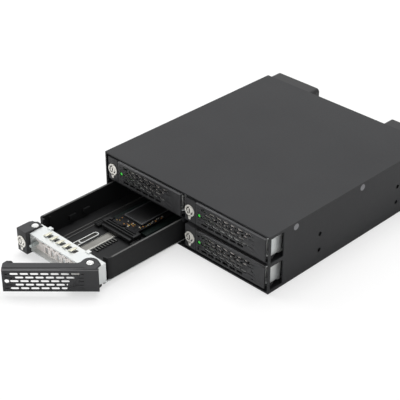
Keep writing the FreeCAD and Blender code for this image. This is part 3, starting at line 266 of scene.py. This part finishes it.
trayAt = {corner: trayPoint(corner) for corner in corners}
hinge = {"x": 28.0, "y": 7.4}


def atTray(corner):
    return Matrix.Translation(trayAt[corner])


def atLatch(corner):
    turn = math.radians(openAngle if corner == openCorner else 0)
    return (atTray(corner) @ Matrix.Translation((hinge["x"] * mm, hinge["y"] * mm, 0))
            @ Matrix.Rotation(turn, 4, "Z"))


def deselect():
    if bpy.context.object and bpy.context.object.mode != "OBJECT":
        bpy.ops.object.mode_set(mode="OBJECT")
    bpy.ops.object.select_all(action="DESELECT")


def pick(piece):
    deselect()
    piece.select_set(True)
    bpy.context.view_layer.objects.active = piece


def applyPlace(piece):
    pick(piece)
    bpy.ops.object.transform_apply(location=True, rotation=True, scale=True)


def modify(piece, kind, **settings):
    pick(piece)
    modifier = piece.modifiers.new(kind, kind)
    for key, value in settings.items():
        setattr(modifier, key, value)
    bpy.ops.object.modifier_apply(modifier=modifier.name)


def bevel(piece, width, segments=2, angle=30):
    modify(piece, "BEVEL", width=width * mm, segments=segments, limit_method="ANGLE",
           angle_limit=math.radians(angle))


# block by its lowest and highest corner in mm
def block(low, high, edge=0.0):
    deselect()
    bpy.ops.mesh.primitive_cube_add(size=1,
                                    location=[(a + b) / 2 * mm for a, b in zip(low, high)],
                                    scale=[(b - a) * mm for a, b in zip(low, high)])
    piece = bpy.context.object
    applyPlace(piece)
    if edge:
        bevel(piece, edge)
    return piece


# cylinder by the middle of its first end in mm
def disc(middle, radius, depth, around="Y", sides=48):
    deselect()
    offset = {"Y": (0, depth / 2, 0), "Z": (0, 0, depth / 2)}[around]
    turn = (math.radians(90), 0, 0) if around == "Y" else (0, 0, 0)
    bpy.ops.mesh.primitive_cylinder_add(vertices=sides, radius=radius * mm, depth=depth * mm,
                                        location=[(a + b) * mm for a, b in zip(middle, offset)],
                                        rotation=turn)
    piece = bpy.context.object
    applyPlace(piece)
    return piece


frontward, upward, downward = Vector((0, -1, 0)), Vector((0, 0, 1)), Vector((0, 0, -1))
facing = 0.9  # least part of a face's normal along the direction it looks in


# edits the faces that look in a direction
def editFaces(piece, direction, *steps):
    pick(piece)
    for polygon in piece.data.polygons:
        polygon.select = polygon.normal.dot(direction) > facing
    for edge in piece.data.edges:
        edge.select = False
    for vertex in piece.data.vertices:
        vertex.select = False
    bpy.ops.object.mode_set(mode="EDIT")
    bpy.ops.mesh.select_mode(type="FACE")
    for step in steps:
        step()
    bpy.ops.object.mode_set(mode="OBJECT")


# steps of editFaces: rings of a width and a rise, one inside the other, and a change of size
def rings(*widthsAndRises):
    return [lambda width=width, rise=rise: bpy.ops.mesh.inset(thickness=width * mm, depth=rise * mm)
            for width, rise in widthsAndRises]


def resize(scale):
    return lambda: bpy.ops.transform.resize(value=scale)


def join(pieces):
    deselect()
    for piece in pieces:
        piece.select_set(True)
    bpy.context.view_layer.objects.active = pieces[0]
    bpy.ops.object.join()
    return pieces[0]


def copyOf(piece):
    made = piece.copy()
    made.data = piece.data.copy()
    bpy.context.collection.objects.link(made)
    return made


mergeDistance = 0.002
smoothAngle = math.radians(35)


# a CAD node's shape with its doubled points merged, to be worked on
def nodeShape(name):
    made = bpy.data.objects.new(name + "Shape", frame["nodes"][name].data.copy())
    bpy.context.collection.objects.link(made)
    pick(made)
    bpy.ops.object.mode_set(mode="EDIT")
    bpy.ops.mesh.select_all(action="SELECT")
    bpy.ops.mesh.remove_doubles(threshold=mergeDistance * mm)
    bpy.ops.object.mode_set(mode="OBJECT")
    return made


def cutAway(piece, cutter):
    modify(piece, "BOOLEAN", operation="DIFFERENCE", solver="EXACT", object=cutter)
    bpy.data.objects.remove(cutter)


def settle(piece, name, body, material=None, at=None, replaced=()):
    if at is not None:
        piece.matrix_world = at @ piece.matrix_world
    applyPlace(piece)
    piece.name = name
    bpy.ops.object.shade_smooth_by_angle(angle=smoothAngle)
    if material:
        finishWith(piece, material)
    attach(piece, body)
    if replaced:
        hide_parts(*replaced)


# a copy of a shape on one tray; its name, body and replaced node end in the tray's corner
def settleCopy(corner, shape, name, slotName, material=None, body="tray", replaced=None,
               offset=(0, 0, 0)):
    at = atTray(corner) @ Matrix.Translation([length * mm for length in offset])
    settle(copyOf(shape), f"{name}_{corner}", f"{body}_{corner}", material, at=at,
           replaced=[f"{replaced}_{corner}"] if replaced else ())


# a copy of each row's shape on every tray
def onEveryTray(*rows):
    for corner in corners:
        for row in rows:
            settleCopy(corner, **row)
    for row in rows:
        bpy.data.objects.remove(row["shape"])


# Latch doors: mm from the hinge, front plate at y -7.4; a groove row holds end, reach and rows
door = {
    "span": 52.7, "face": -7.4, "sheet": 1.2, "thin": 0.8, "half": 8.1, "overrun": 1.0,
    "flangeEnd": 14.0, "flangeDepth": 3.0, "flangeHeight": 1.3,
    "backMargin": 0.5, "backEnd": 2.2, "backBase": 1.2, "backTop": 6.9, "overlap": 0.02,
    "lineMargin": 0.6, "lineEnd": 3.0, "lineFront": 1.1, "lineRear": 1.95, "lineDepth": 0.3,
    "grooveHeight": 0.5, "grooveDepth": 0.3, "rowPitch": 2.63, "rowShift": -0.7, "middleRow": 2,
    "grooves": ((49.4, 4.4, (1, 3)), (49.4, 1.9, (0, 2, 4)), (6.2, 4.4, (1, 3)), (3.7, 1.9, (0, 4))),
    "slope": (0.6, 0.8), "slopeBase": 6.9, "lineBand": (7.5, 7.95), "edge": 0.16, "edgeAngle": 40,
}


# what the real door lacks behind and below its face, the line and the short blind grooves
def doorCutters():
    face, low, high = door["face"], -door["half"], door["half"]
    thinFace, over = face + door["thin"], door["overrun"]
    pieces = [
        block((-door["span"] - over, thinFace, low - over),
              (-door["flangeEnd"], door["flangeDepth"], low + door["flangeHeight"])),
        block((-door["span"] - door["backMargin"], thinFace, low + door["backBase"]),
              (-door["backEnd"], face + door["sheet"] + door["overlap"], door["backTop"])),
        block((-door["span"] + door["lineMargin"], face + door["lineFront"],
               high - door["lineDepth"]),
              (-door["lineEnd"], face + door["lineRear"], high + over))]
    for end, reach, rows in door["grooves"]:
        for row in rows:
            z = door["rowShift"] + (row - door["middleRow"]) * door["rowPitch"]
            pieces.append(block(
                (end - reach - door["span"], face - over, z - door["grooveHeight"] / 2),
                (end - door["span"], face + door["grooveDepth"], z + door["grooveHeight"] / 2)))
    return pieces


# painted highlight: the slope along the top edge is paler, as if it caught the light; painted shade:
# the bottom of the line behind it is dark
def finishDoor(piece, corner):
    finishWith(piece, finishes["latch_black"], slopeHighlightFinish, paintedShadeFinish)
    intoLatch = atLatch(corner).to_3x3().inverted()
    (least, most), (lineLow, lineHigh) = door["slope"], door["lineBand"]
    for polygon in piece.data.polygons:
        normal = intoLatch @ polygon.normal
        height = (polygon.center.z - trayAt[corner].z) / mm
        slopes = least < -normal.y < most and least < normal.z < most
        if slopes and height > door["slopeBase"]:
            polygon.material_index = 1
        elif normal.z > facing and lineLow < height < lineHigh:
            polygon.material_index = 2


for corner in corners:
    piece = nodeShape("latch_" + corner)
    for cutter in doorCutters():
        cutter.matrix_world = atLatch(corner)
        applyPlace(cutter)
        cutAway(piece, cutter)
    modify(piece, "TRIANGULATE")
    finishDoor(piece, corner)
    bevel(piece, door["edge"], segments=1, angle=door["edgeAngle"])
    settle(piece, "latchDoor_" + corner, "latch_" + corner,
           replaced=["latch_" + corner])
print("latch doors made")

# Key locks: mm from the lock's axis, front plane of the face at y 0
lock = {
    "x": -29.8, "z": -0.25, "radius": 4.05, "proud": 0.5, "seat": -0.05, "headSides": 64,
    "headEdge": 0.10, "headEdgeAngle": 35,
    "rings": ((0.2, 0), (0.95, 0), (0.12, -0.28), (0.62, 0), (0.12, 0.2), (0.1, 0)),
    "pitDepth": 0.12, "pitInner": 1.95, "pitOuter": 2.95, "arcs": ((95, 200), (215, 250), (290, 350)),
    "barrel": 3.4, "length": 7.6, "barrelEdge": 0.2,
    "tailStart": -2.9, "tailEnd": -6.4, "tailTop": 1.5, "tailTip": 0.75, "tailEdge": 0.22,
    "dot": 0.42, "dotDepth": 0.2, "dotProud": 0.02, "dotRise": 0.85, "dotSides": 20,
    "keyWidth": 0.8, "keyHeight": 3.4, "keyFront": 0.02, "keyRear": 0.14, "keyEdge": 0.05,
}


def lockHead():
    front = -lock["proud"]
    head = disc((0, front, 0), lock["radius"], lock["seat"] - front, sides=lock["headSides"])
    editFaces(head, frontward, *rings(*lock["rings"]))
    bevel(head, lock["headEdge"], angle=lock["headEdgeAngle"])
    # painted shade: the sunk faces of the ring within the listed arcs are near-black
    finishWith(head, finishes["lock_nickel"], paintedShadeFinish)
    for polygon in head.data.polygons:
        middle = polygon.center / mm
        reach = math.hypot(middle.x, middle.z)
        turned = math.degrees(math.atan2(middle.z, middle.x)) % 360
        sunk = middle.y > front + lock["pitDepth"] and lock["pitInner"] < reach < lock["pitOuter"]
        if sunk and any(start < turned < end for start, end in lock["arcs"]):
            polygon.material_index = 1
    return head


def keyLock():
    front = -lock["proud"]
    tail = block((-lock["tailTop"], front, lock["tailEnd"]),
                 (lock["tailTop"], lock["seat"], lock["tailStart"]))
    editFaces(tail, downward, resize((lock["tailTip"] / lock["tailTop"], 1, 1)))
    bevel(tail, lock["tailEdge"], segments=3)
    finishWith(tail, finishes["lock_nickel"])
    # painted highlight: a small white disc near the tail's tip
    dot = disc((0, front - lock["dotProud"], lock["tailEnd"] + lock["dotRise"]), lock["dot"],
               lock["dotDepth"], sides=lock["dotSides"])
    finishWith(dot, highlightWhiteFinish)
    # painted shade: a thin near-black block for the dark keyway
    key = block((-lock["keyWidth"] / 2, front + lock["keyFront"], -lock["keyHeight"] / 2),
                (lock["keyWidth"] / 2, front + lock["keyRear"], lock["keyHeight"] / 2),
                lock["keyEdge"])
    finishWith(key, paintedShadeFinish)
    barrel = disc((0, lock["seat"], 0), lock["barrel"], lock["length"])
    bevel(barrel, lock["barrelEdge"])
    finishWith(barrel, finishes["lock_nickel"])
    return join([lockHead(), tail, dot, key, barrel])


onEveryTray(dict(shape=keyLock(), name="keyLock", body="lock_core", slotName="lock_nickel",
                 replaced="lock_core", offset=(lock["x"], 0, lock["z"])))
print("locks made")

# Lock blocks keep the CAD form with softened edges
lockBlock = {"edge": 0.25, "edgeAngle": 40}

for corner in corners:
    piece = nodeShape("lock_block_" + corner)
    bevel(piece, lockBlock["edge"], angle=lockBlock["edgeAngle"])
    settle(piece, "lockBlock_" + corner, "lock_block_" + corner,
           finishes["latch_black"], replaced=["lock_block_" + corner])

# Pins: domed heads with a turned ring and a centre pit
pin = {
    "places": ((hinge["x"], hinge["y"]), (-27.7, 9.8)), "radius": 1.5, "head": 2.3, "thick": 0.6,
    "half": 8.1, "overlap": 0.05, "headEdge": 0.08, "headEdgeAngle": 35,
    "rings": ((0.3, 0), (0.1, -0.06), (1.1, 0), (0.15, -0.12)), "shaftSides": 32,
    "shaftEdge": 0.12, "washerRim": 0.32, "washerThick": 0.22, "washerRing": (0.1, 0),
}


def headedPins():
    pieces = []
    under = pin["half"] - pin["thick"]
    for x, y in pin["places"]:
        head = disc((x, y, under), pin["head"], pin["thick"], "Z")
        editFaces(head, upward, *rings(*pin["rings"]))
        bevel(head, pin["headEdge"], angle=pin["headEdgeAngle"])
        shaft = disc((x, y, -pin["half"]), pin["radius"], under + pin["half"] + pin["overlap"], "Z",
                     pin["shaftSides"])
        bevel(shaft, pin["shaftEdge"])
        # painted shade: the washer is a near-black ring round the head
        washer = disc((x, y, under - pin["overlap"]), pin["head"] + pin["washerRim"],
                      pin["washerThick"], "Z")
        editFaces(washer, upward, *rings(pin["washerRing"]))
        for piece, material in ((head, finishes["pin_steel"]), (shaft, finishes["pin_steel"]),
                                (washer, paintedShadeFinish)):
            finishWith(piece, material)
        pieces += [head, shaft, washer]
    return join(pieces)


onEveryTray(dict(shape=headedPins(), name="pinPair", slotName="pin_steel", replaced="pins"))

# Status lenses stand in the latch's light hole; the open tray's is unlit
lens = {"x": -21.9, "z": -0.7, "radius": 0.95, "front": 0.35, "back": 2.3, "sides": 32,
        "ring": (0.25, 0), "edge": 0.3}


def domedLens():
    piece = disc((lens["x"], lens["front"], lens["z"]), lens["radius"],
                 lens["back"] - lens["front"], sides=lens["sides"])
    editFaces(piece, frontward, *rings(lens["ring"]))
    bevel(piece, lens["edge"], segments=3)
    return piece


lensShape = domedLens()
for corner in corners:
    settleCopy(corner, lensShape, "lens", "status_light",
               finishes["status_light"] if corner == openCorner else lensFinish)
bpy.data.objects.remove(lensShape)
print("blocks, pins and lenses made")

# Louvres: bent scoops over the front box, each with a near-black block at its mouth as painted shade
louvre = {
    "first": -15.0, "pitch": 5.95, "count": 5, "width": 3.9, "length": 5.0, "front": 7.1,
    "top": 6.7, "rise": 1.6, "sheet": 0.45, "strips": 10, "edge": 0.1, "mouth": 1.6,
    "mouthFront": 1.5, "mouthInset": 0.3, "mouthLow": 0.02, "mouthHigh": 0.07, "mouthEdge": 0.02,
}


def scoops():
    pieces = []
    width, length, front, top = (louvre[key] for key in ("width", "length", "front", "top"))
    for number in range(louvre["count"]):
        left = louvre["first"] + number * louvre["pitch"] - width / 2
        right = left + width
        deselect()
        bpy.ops.mesh.primitive_grid_add(x_subdivisions=louvre["strips"], y_subdivisions=1, size=1)
        scoop = bpy.context.object
        scoop.scale = (width * mm, length * mm, 1)
        scoop.location = ((left + width / 2) * mm, (front + length / 2) * mm, top * mm)
        applyPlace(scoop)
        for vertex in scoop.data.vertices:
            along = (vertex.co.x / mm - left) / width
            vertex.co.z += louvre["rise"] * math.sin(along * math.pi * 0.5) * mm
        modify(scoop, "SOLIDIFY", thickness=louvre["sheet"] * mm, offset=-1.0)
        bevel(scoop, louvre["edge"])
        finishWith(scoop, creamFinish)
        # painted shade: a thin near-black block in the scoop's mouth
        mouth = block((right - louvre["mouthInset"], front + louvre["mouthFront"],
                       top + louvre["mouthLow"]),
                      (right + louvre["mouth"], front + length - louvre["mouthInset"],
                       top + louvre["mouthHigh"]), louvre["mouthEdge"])
        finishWith(mouth, paintedShadeFinish)
        pieces += [scoop, mouth]
    return join(pieces)


onEveryTray(dict(shape=scoops(), name="louvres", slotName="tray_steel"))

# Tray floor: a darker sheet of metal on the tongue as a painted reflection, and paler comb teeth
# beside it as painted highlights
floorTop = -7.1
tongue = {"low": (-6.4, 15.2, -6.92), "high": (0.4, 57.9, -6.84), "edge": 0.02,
          "rings": ((0.7, 0), (0.15, -0.03))}
comb = {"left": 1.8, "right": 5.3, "front": 32.1, "pitch": 2.3, "tooth": 0.75, "count": 8,
        "low": 0.5, "high": 0.95, "top": (0.95, 0.6, 1), "edge": 0.08}


def tongueReflectionSheet():
    sheet = block(tongue["low"], tongue["high"], tongue["edge"])
    editFaces(sheet, upward, *rings(*tongue["rings"]))
    return sheet


# slats laid on the comb, paler as painted highlight
def combTeeth():
    pieces = []
    for number in range(comb["count"]):
        y = comb["front"] + number * comb["pitch"]
        tooth = block((comb["left"], y, floorTop + comb["low"]),
                      (comb["right"], y + comb["tooth"], floorTop + comb["high"]))
        editFaces(tooth, upward, resize(comb["top"]))
        bevel(tooth, comb["edge"])
        pieces.append(tooth)
    return join(pieces)


onEveryTray(
    dict(shape=tongueReflectionSheet(), name="tongueReflectionSheet", slotName="tray_steel", material=tongueReflectionFinish),
    dict(shape=combTeeth(), name="combTeeth", slotName="tray_black", material=toothHighlightFinish))

# A loop of bright sheet around a slot; the slot is a near-black block, painted shade
loop = {"x": -11.0, "half": 2.05, "rim": 0.7, "front": 15.0, "end": 33.4, "rise": 0.3,
        "edge": 0.1, "slotHalf": 1.35, "slotFront": 16.0, "slotEnd": 45.4, "slotDepth": 0.2,
        "slotRise": 0.06, "slotEdge": 0.05}


def loopSlot():
    return block((loop["x"] - loop["slotHalf"], loop["slotFront"], floorTop - loop["slotDepth"]),
                 (loop["x"] + loop["slotHalf"], loop["slotEnd"], floorTop + loop["slotRise"]),
                 loop["slotEdge"])


def loopLegs():
    pieces = []
    for side in (-1, 1):
        middle = loop["x"] + side * loop["half"]
        pieces.append(block((middle - loop["rim"] / 2, loop["front"], floorTop),
                            (middle + loop["rim"] / 2, loop["end"], floorTop + loop["rise"]),
                            loop["edge"]))
    return join(pieces)


# Thin paler strips on the side walls' tops, a painted highlight along their edges
wallHighlightStrip = {"inner": 32.15, "outer": 33.3, "front": 20.5, "rear": 145.5, "low": 8.15, "high": 8.29,
           "edge": 0.03}


def wallHighlightStrips():
    pieces = []
    for side in (-1, 1):
        left, right = sorted((side * wallHighlightStrip["inner"], side * wallHighlightStrip["outer"]))
        pieces.append(block((left, wallHighlightStrip["front"], wallHighlightStrip["low"]),
                            (right, wallHighlightStrip["rear"], wallHighlightStrip["high"]), wallHighlightStrip["edge"]))
    return join(pieces)


# Rails along the floor, a lighter grey as painted highlight: a run holds its place and its two ends
rail = {"runs": ((-22.6, 20.0, 116.0), (-19.5, 20.0, 62.0), (21.6, 20.0, 116.0)),
        "half": 0.45, "rise": 0.75, "top": (0.55, 0.99, 1), "edge": 0.15}


def floorRails():
    pieces = []
    for x, start, end in rail["runs"]:
        piece = block((x - rail["half"], start, floorTop),
                      (x + rail["half"], end, floorTop + rail["rise"]))
        editFaces(piece, upward, resize(rail["top"]))
        bevel(piece, rail["edge"])
        pieces.append(piece)
    return join(pieces)


onEveryTray(
    dict(shape=loopSlot(), name="loopSlot", slotName="tray_black", material=paintedShadeFinish),
    dict(shape=wallHighlightStrips(), name="wallHighlightStrips", slotName="tray_black", material=railHighlightFinish))
onEveryTray(
    dict(shape=loopLegs(), name="loopLegs", slotName="tray_steel", material=finishes["tray_steel"]),
    dict(shape=floorRails(), name="floorRails", slotName="tray_black", material=railHighlightFinish))
print("louvres and floor made")

# Drive clip: bar with two long slots, ribbed pads and a lower front step
clip = {
    "left": -14.2, "right": 15.8, "front": 51.6, "rear": 60.3, "low": -5.6, "top": -1.7,
    "barFront": 2.2, "slots": 2, "slotInset": 2.2, "slotFirst": 3.0, "slotPitch": 2.3,
    "slotWidth": 1.5, "slotDepth": 2.4, "overrun": 1.0,
    "rearCut": ((-10.5, 58.2, -3.45), (12.1, 62, 1)),
    "stepInset": 1.5, "stepRear": 2.4, "stepTop": -3.4, "edge": 0.2,
}
pad = {"width": 4.5, "front": 50.4, "rear": 57.4, "top": -4.5, "ribs": 4, "ribFirst": 0.4,
       "ribPitch": 1.7, "ribDepth": 0.95, "ribInset": 0.3, "ribLow": -4.6, "ribTop": -4.0,
       "footLeft": 0.4, "footRight": 1.1, "footFront": 0.3, "footRear": 0.4, "footRise": 0.25,
       "footTop": -5.5}


# a pad with its ribs and foot, by its left side
def clipPad(left):
    right = left + pad["width"]
    pieces = [block((left, pad["front"], clip["low"]), (right, pad["rear"], pad["top"]))]
    for rib in range(pad["ribs"]):
        y = pad["front"] + pad["ribFirst"] + rib * pad["ribPitch"]
        pieces.append(block((left + pad["ribInset"], y, pad["ribLow"]),
                            (right - pad["ribInset"], y + pad["ribDepth"], pad["ribTop"])))
    pieces.append(block((left + pad["footLeft"], pad["front"] + pad["footFront"],
                         floorTop + pad["footRise"]),
                        (right - pad["footRight"], pad["rear"] - pad["footRear"], pad["footTop"])))
    return pieces


def slottedClip():
    left, right, front, low, top = (clip[key] for key in ("left", "right", "front", "low", "top"))
    bar = block((left, front + clip["barFront"], low), (right, clip["rear"], top))
    for number in range(clip["slots"]):
        start = front + clip["slotFirst"] + number * clip["slotPitch"]
        cutAway(bar, block((left + clip["slotInset"], start, top - clip["slotDepth"]),
                           (right - clip["slotInset"], start + clip["slotWidth"],
                            top + clip["overrun"])))
    cutAway(bar, block(*clip["rearCut"]))
    step = block((left + clip["stepInset"], front, low),
                 (right - clip["stepInset"], front + clip["stepRear"], clip["stepTop"]))
    pieces = [bar, step] + clipPad(left - pad["width"]) + clipPad(right)
    for piece in pieces:
        bevel(piece, clip["edge"])
    return join(pieces)


onEveryTray(dict(shape=slottedClip(), name="driveClip", body="drive_clip", slotName="tray_black",
                 material=finishes["tray_black"], replaced="drive_clip"))

# Drive label: bare, with an outline near its edge
label = {"left": -9.0, "right": 9.2, "front": 67.0, "rear": 132.0, "level": -1.3, "sheet": 0.12,
         "edge": 0.04, "margin": 0.8, "line": 0.35, "lineSunk": 0.02, "lineProud": 0.03,
         "lineEdge": 0.01}


def bareLabel():
    top = label["level"] + label["sheet"]
    sheet = block((label["left"], label["front"], label["level"]),
                  (label["right"], label["rear"], top), label["edge"])
    finishWith(sheet, labelFinish)
    margin, line = label["margin"], label["line"]
    left, right = label["left"] + margin, label["right"] - margin
    near, far = label["front"] + margin, label["rear"] - margin
    pieces = [sheet]
    for (x0, y0), (x1, y1) in (((left, near), (right, near + line)),
                               ((left, far - line), (right, far)),
                               ((left, near + line), (left + line, far - line)),
                               ((right - line, near + line), (right, far - line))):
        side = block((x0, y0, top - label["lineSunk"]), (x1, y1, top + label["lineProud"]),
                     label["lineEdge"])
        finishWith(side, outlineFinish)
        pieces.append(side)
    return join(pieces)


# Small parts on the drive's board: some in cross rows, the others in two rows along its side
smallPart = {
    "seed": 7, "count": 34, "board": -2.5, "heights": (0.35, 0.6), "edge": 0.06,
    "sizes": ((0.9, 0.5), (0.5, 0.9), (1.2, 0.7), (0.6, 0.6)),
    "crossCount": 22, "crossReach": (-9.2, 10.4), "crossRows": (60.9, 62.3, 63.7, 65.2), "stray": 0.2,
    "sideRows": (9.9, 10.9), "sideFirst": 67.5, "sidePitch": 1.7,
}


def boardParts():
    chance = random.Random(smallPart["seed"])
    base, stray = smallPart["board"], smallPart["stray"]
    pieces = []
    for number in range(smallPart["count"]):
        width, depth = chance.choice(smallPart["sizes"])
        along = number - smallPart["crossCount"]
        if along < 0:
            x = chance.uniform(*smallPart["crossReach"])
            y = chance.choice(smallPart["crossRows"]) + chance.uniform(-stray, stray)
        else:
            x = chance.choice(smallPart["sideRows"])
            y = smallPart["sideFirst"] + along * smallPart["sidePitch"]
        part = block((x - width / 2, y - depth / 2, base),
                     (x + width / 2, y + depth / 2, base + chance.uniform(*smallPart["heights"])),
                     smallPart["edge"])
        finishWith(part, chance.choice(partFinishes))
        pieces.append(part)
    return join(pieces)


onEveryTray(dict(shape=bareLabel(), name="driveLabel", slotName="drive_board"),
            dict(shape=boardParts(), name="boardParts", slotName="drive_board"))
print("clips and drives made")


# Camera, light and floor: a lamp row holds name, place, size in m and power in W
view = {"lens": 108.1, "place": (0.4571, -0.5308, 0.4335), "azimuth": 44.78, "elevation": 31.96,
        "reach": 20}
lamps = (("keyLight", (-0.85, -0.30, 0.95), 0.7, 5),
         ("fillLight", (0.35, -1.05, 0.55), 0.8, 1.4),
         ("topLight", (-0.1, 0.25, 1.25), 0.9, 12))
lampTarget = Vector((0, 0, 0.02))
backdrop = {"color": (1.0, 1.0, 1.0), "light": 0.34, "seen": 1.0,
            "floorSize": 6, "floorLevel": -0.0006, "floorColor": (0.96, 0.96, 0.96),
            "floorRoughness": 0.8, "floorGlow": 0.62}


# turns a camera or lamp so that it looks along a direction
def aim(piece, direction):
    piece.rotation_euler = direction.to_track_quat("-Z", "Y").to_euler()


def makeCamera():
    deselect()
    bpy.ops.object.camera_add(location=view["place"])
    camera = bpy.context.object
    azimuth, elevation = math.radians(view["azimuth"]), math.radians(view["elevation"])
    back = Vector((math.sin(azimuth) * math.cos(elevation),
                   -math.cos(azimuth) * math.cos(elevation), math.sin(elevation)))
    aim(camera, -back)
    camera.data.lens = view["lens"]
    camera.data.clip_end = view["reach"]
    bpy.context.scene.camera = camera


def makeLight(name, place, size, power):
    deselect()
    bpy.ops.object.light_add(type="AREA", location=place)
    lamp = bpy.context.object
    lamp.name = name
    lamp.data.size = size
    lamp.data.energy = power
    aim(lamp, lampTarget - Vector(place))


# the floor glows a little to the camera, so that it stays white around the shadows
def makeFloor():
    deselect()
    bpy.ops.mesh.primitive_plane_add(size=backdrop["floorSize"],
                                     location=(0, 0, backdrop["floorLevel"]))
    floor = bpy.context.object
    floor.name = "studioFloor"
    finish = Finish("studioFloor", backdrop["floorColor"], backdrop["floorRoughness"])
    glow = finish.node("ShaderNodeEmission", None, {"Color": (1, 1, 1, 1), "Strength": 1.0})
    seen = finish.node("ShaderNodeLightPath", out="Is Camera Ray") * backdrop["floorGlow"]
    plain = Socket(finish, finish.shader.outputs[0])
    mix = finish.node("ShaderNodeMixShader", None, {0: seen, 1: plain, 2: glow})
    finish.tree.links.new(mix.link, finish.tree.nodes["Material Output"].inputs["Surface"])
    finishWith(floor, finish.material)


# the world is white to the camera and in reflections, and dimmer as light
def makeWorld():
    world = bpy.data.worlds.new("studio")
    bpy.context.scene.world = world
    world.use_nodes = True
    tree = world.node_tree
    path = tree.nodes.new("ShaderNodeLightPath")
    seen = path.outputs["Is Camera Ray"]
    for output in ("Is Glossy Ray", "Is Transmission Ray"):
        either = tree.nodes.new("ShaderNodeMath")
        either.operation = "MAXIMUM"
        tree.links.new(seen, either.inputs[0])
        tree.links.new(path.outputs[output], either.inputs[1])
        seen = either.outputs[0]
    level = tree.nodes.new("ShaderNodeMapRange")
    level.inputs["To Min"].default_value = backdrop["light"]
    level.inputs["To Max"].default_value = backdrop["seen"]
    tree.links.new(seen, level.inputs["Value"])
    tree.nodes["Background"].inputs["Color"].default_value = (*backdrop["color"], 1)
    tree.links.new(level.outputs[0], tree.nodes["Background"].inputs["Strength"])


makeCamera()
for lamp in lamps:
    makeLight(*lamp)
makeFloor()
makeWorld()
bpy.context.scene.view_settings.view_transform = "Standard"
print("camera and light made")
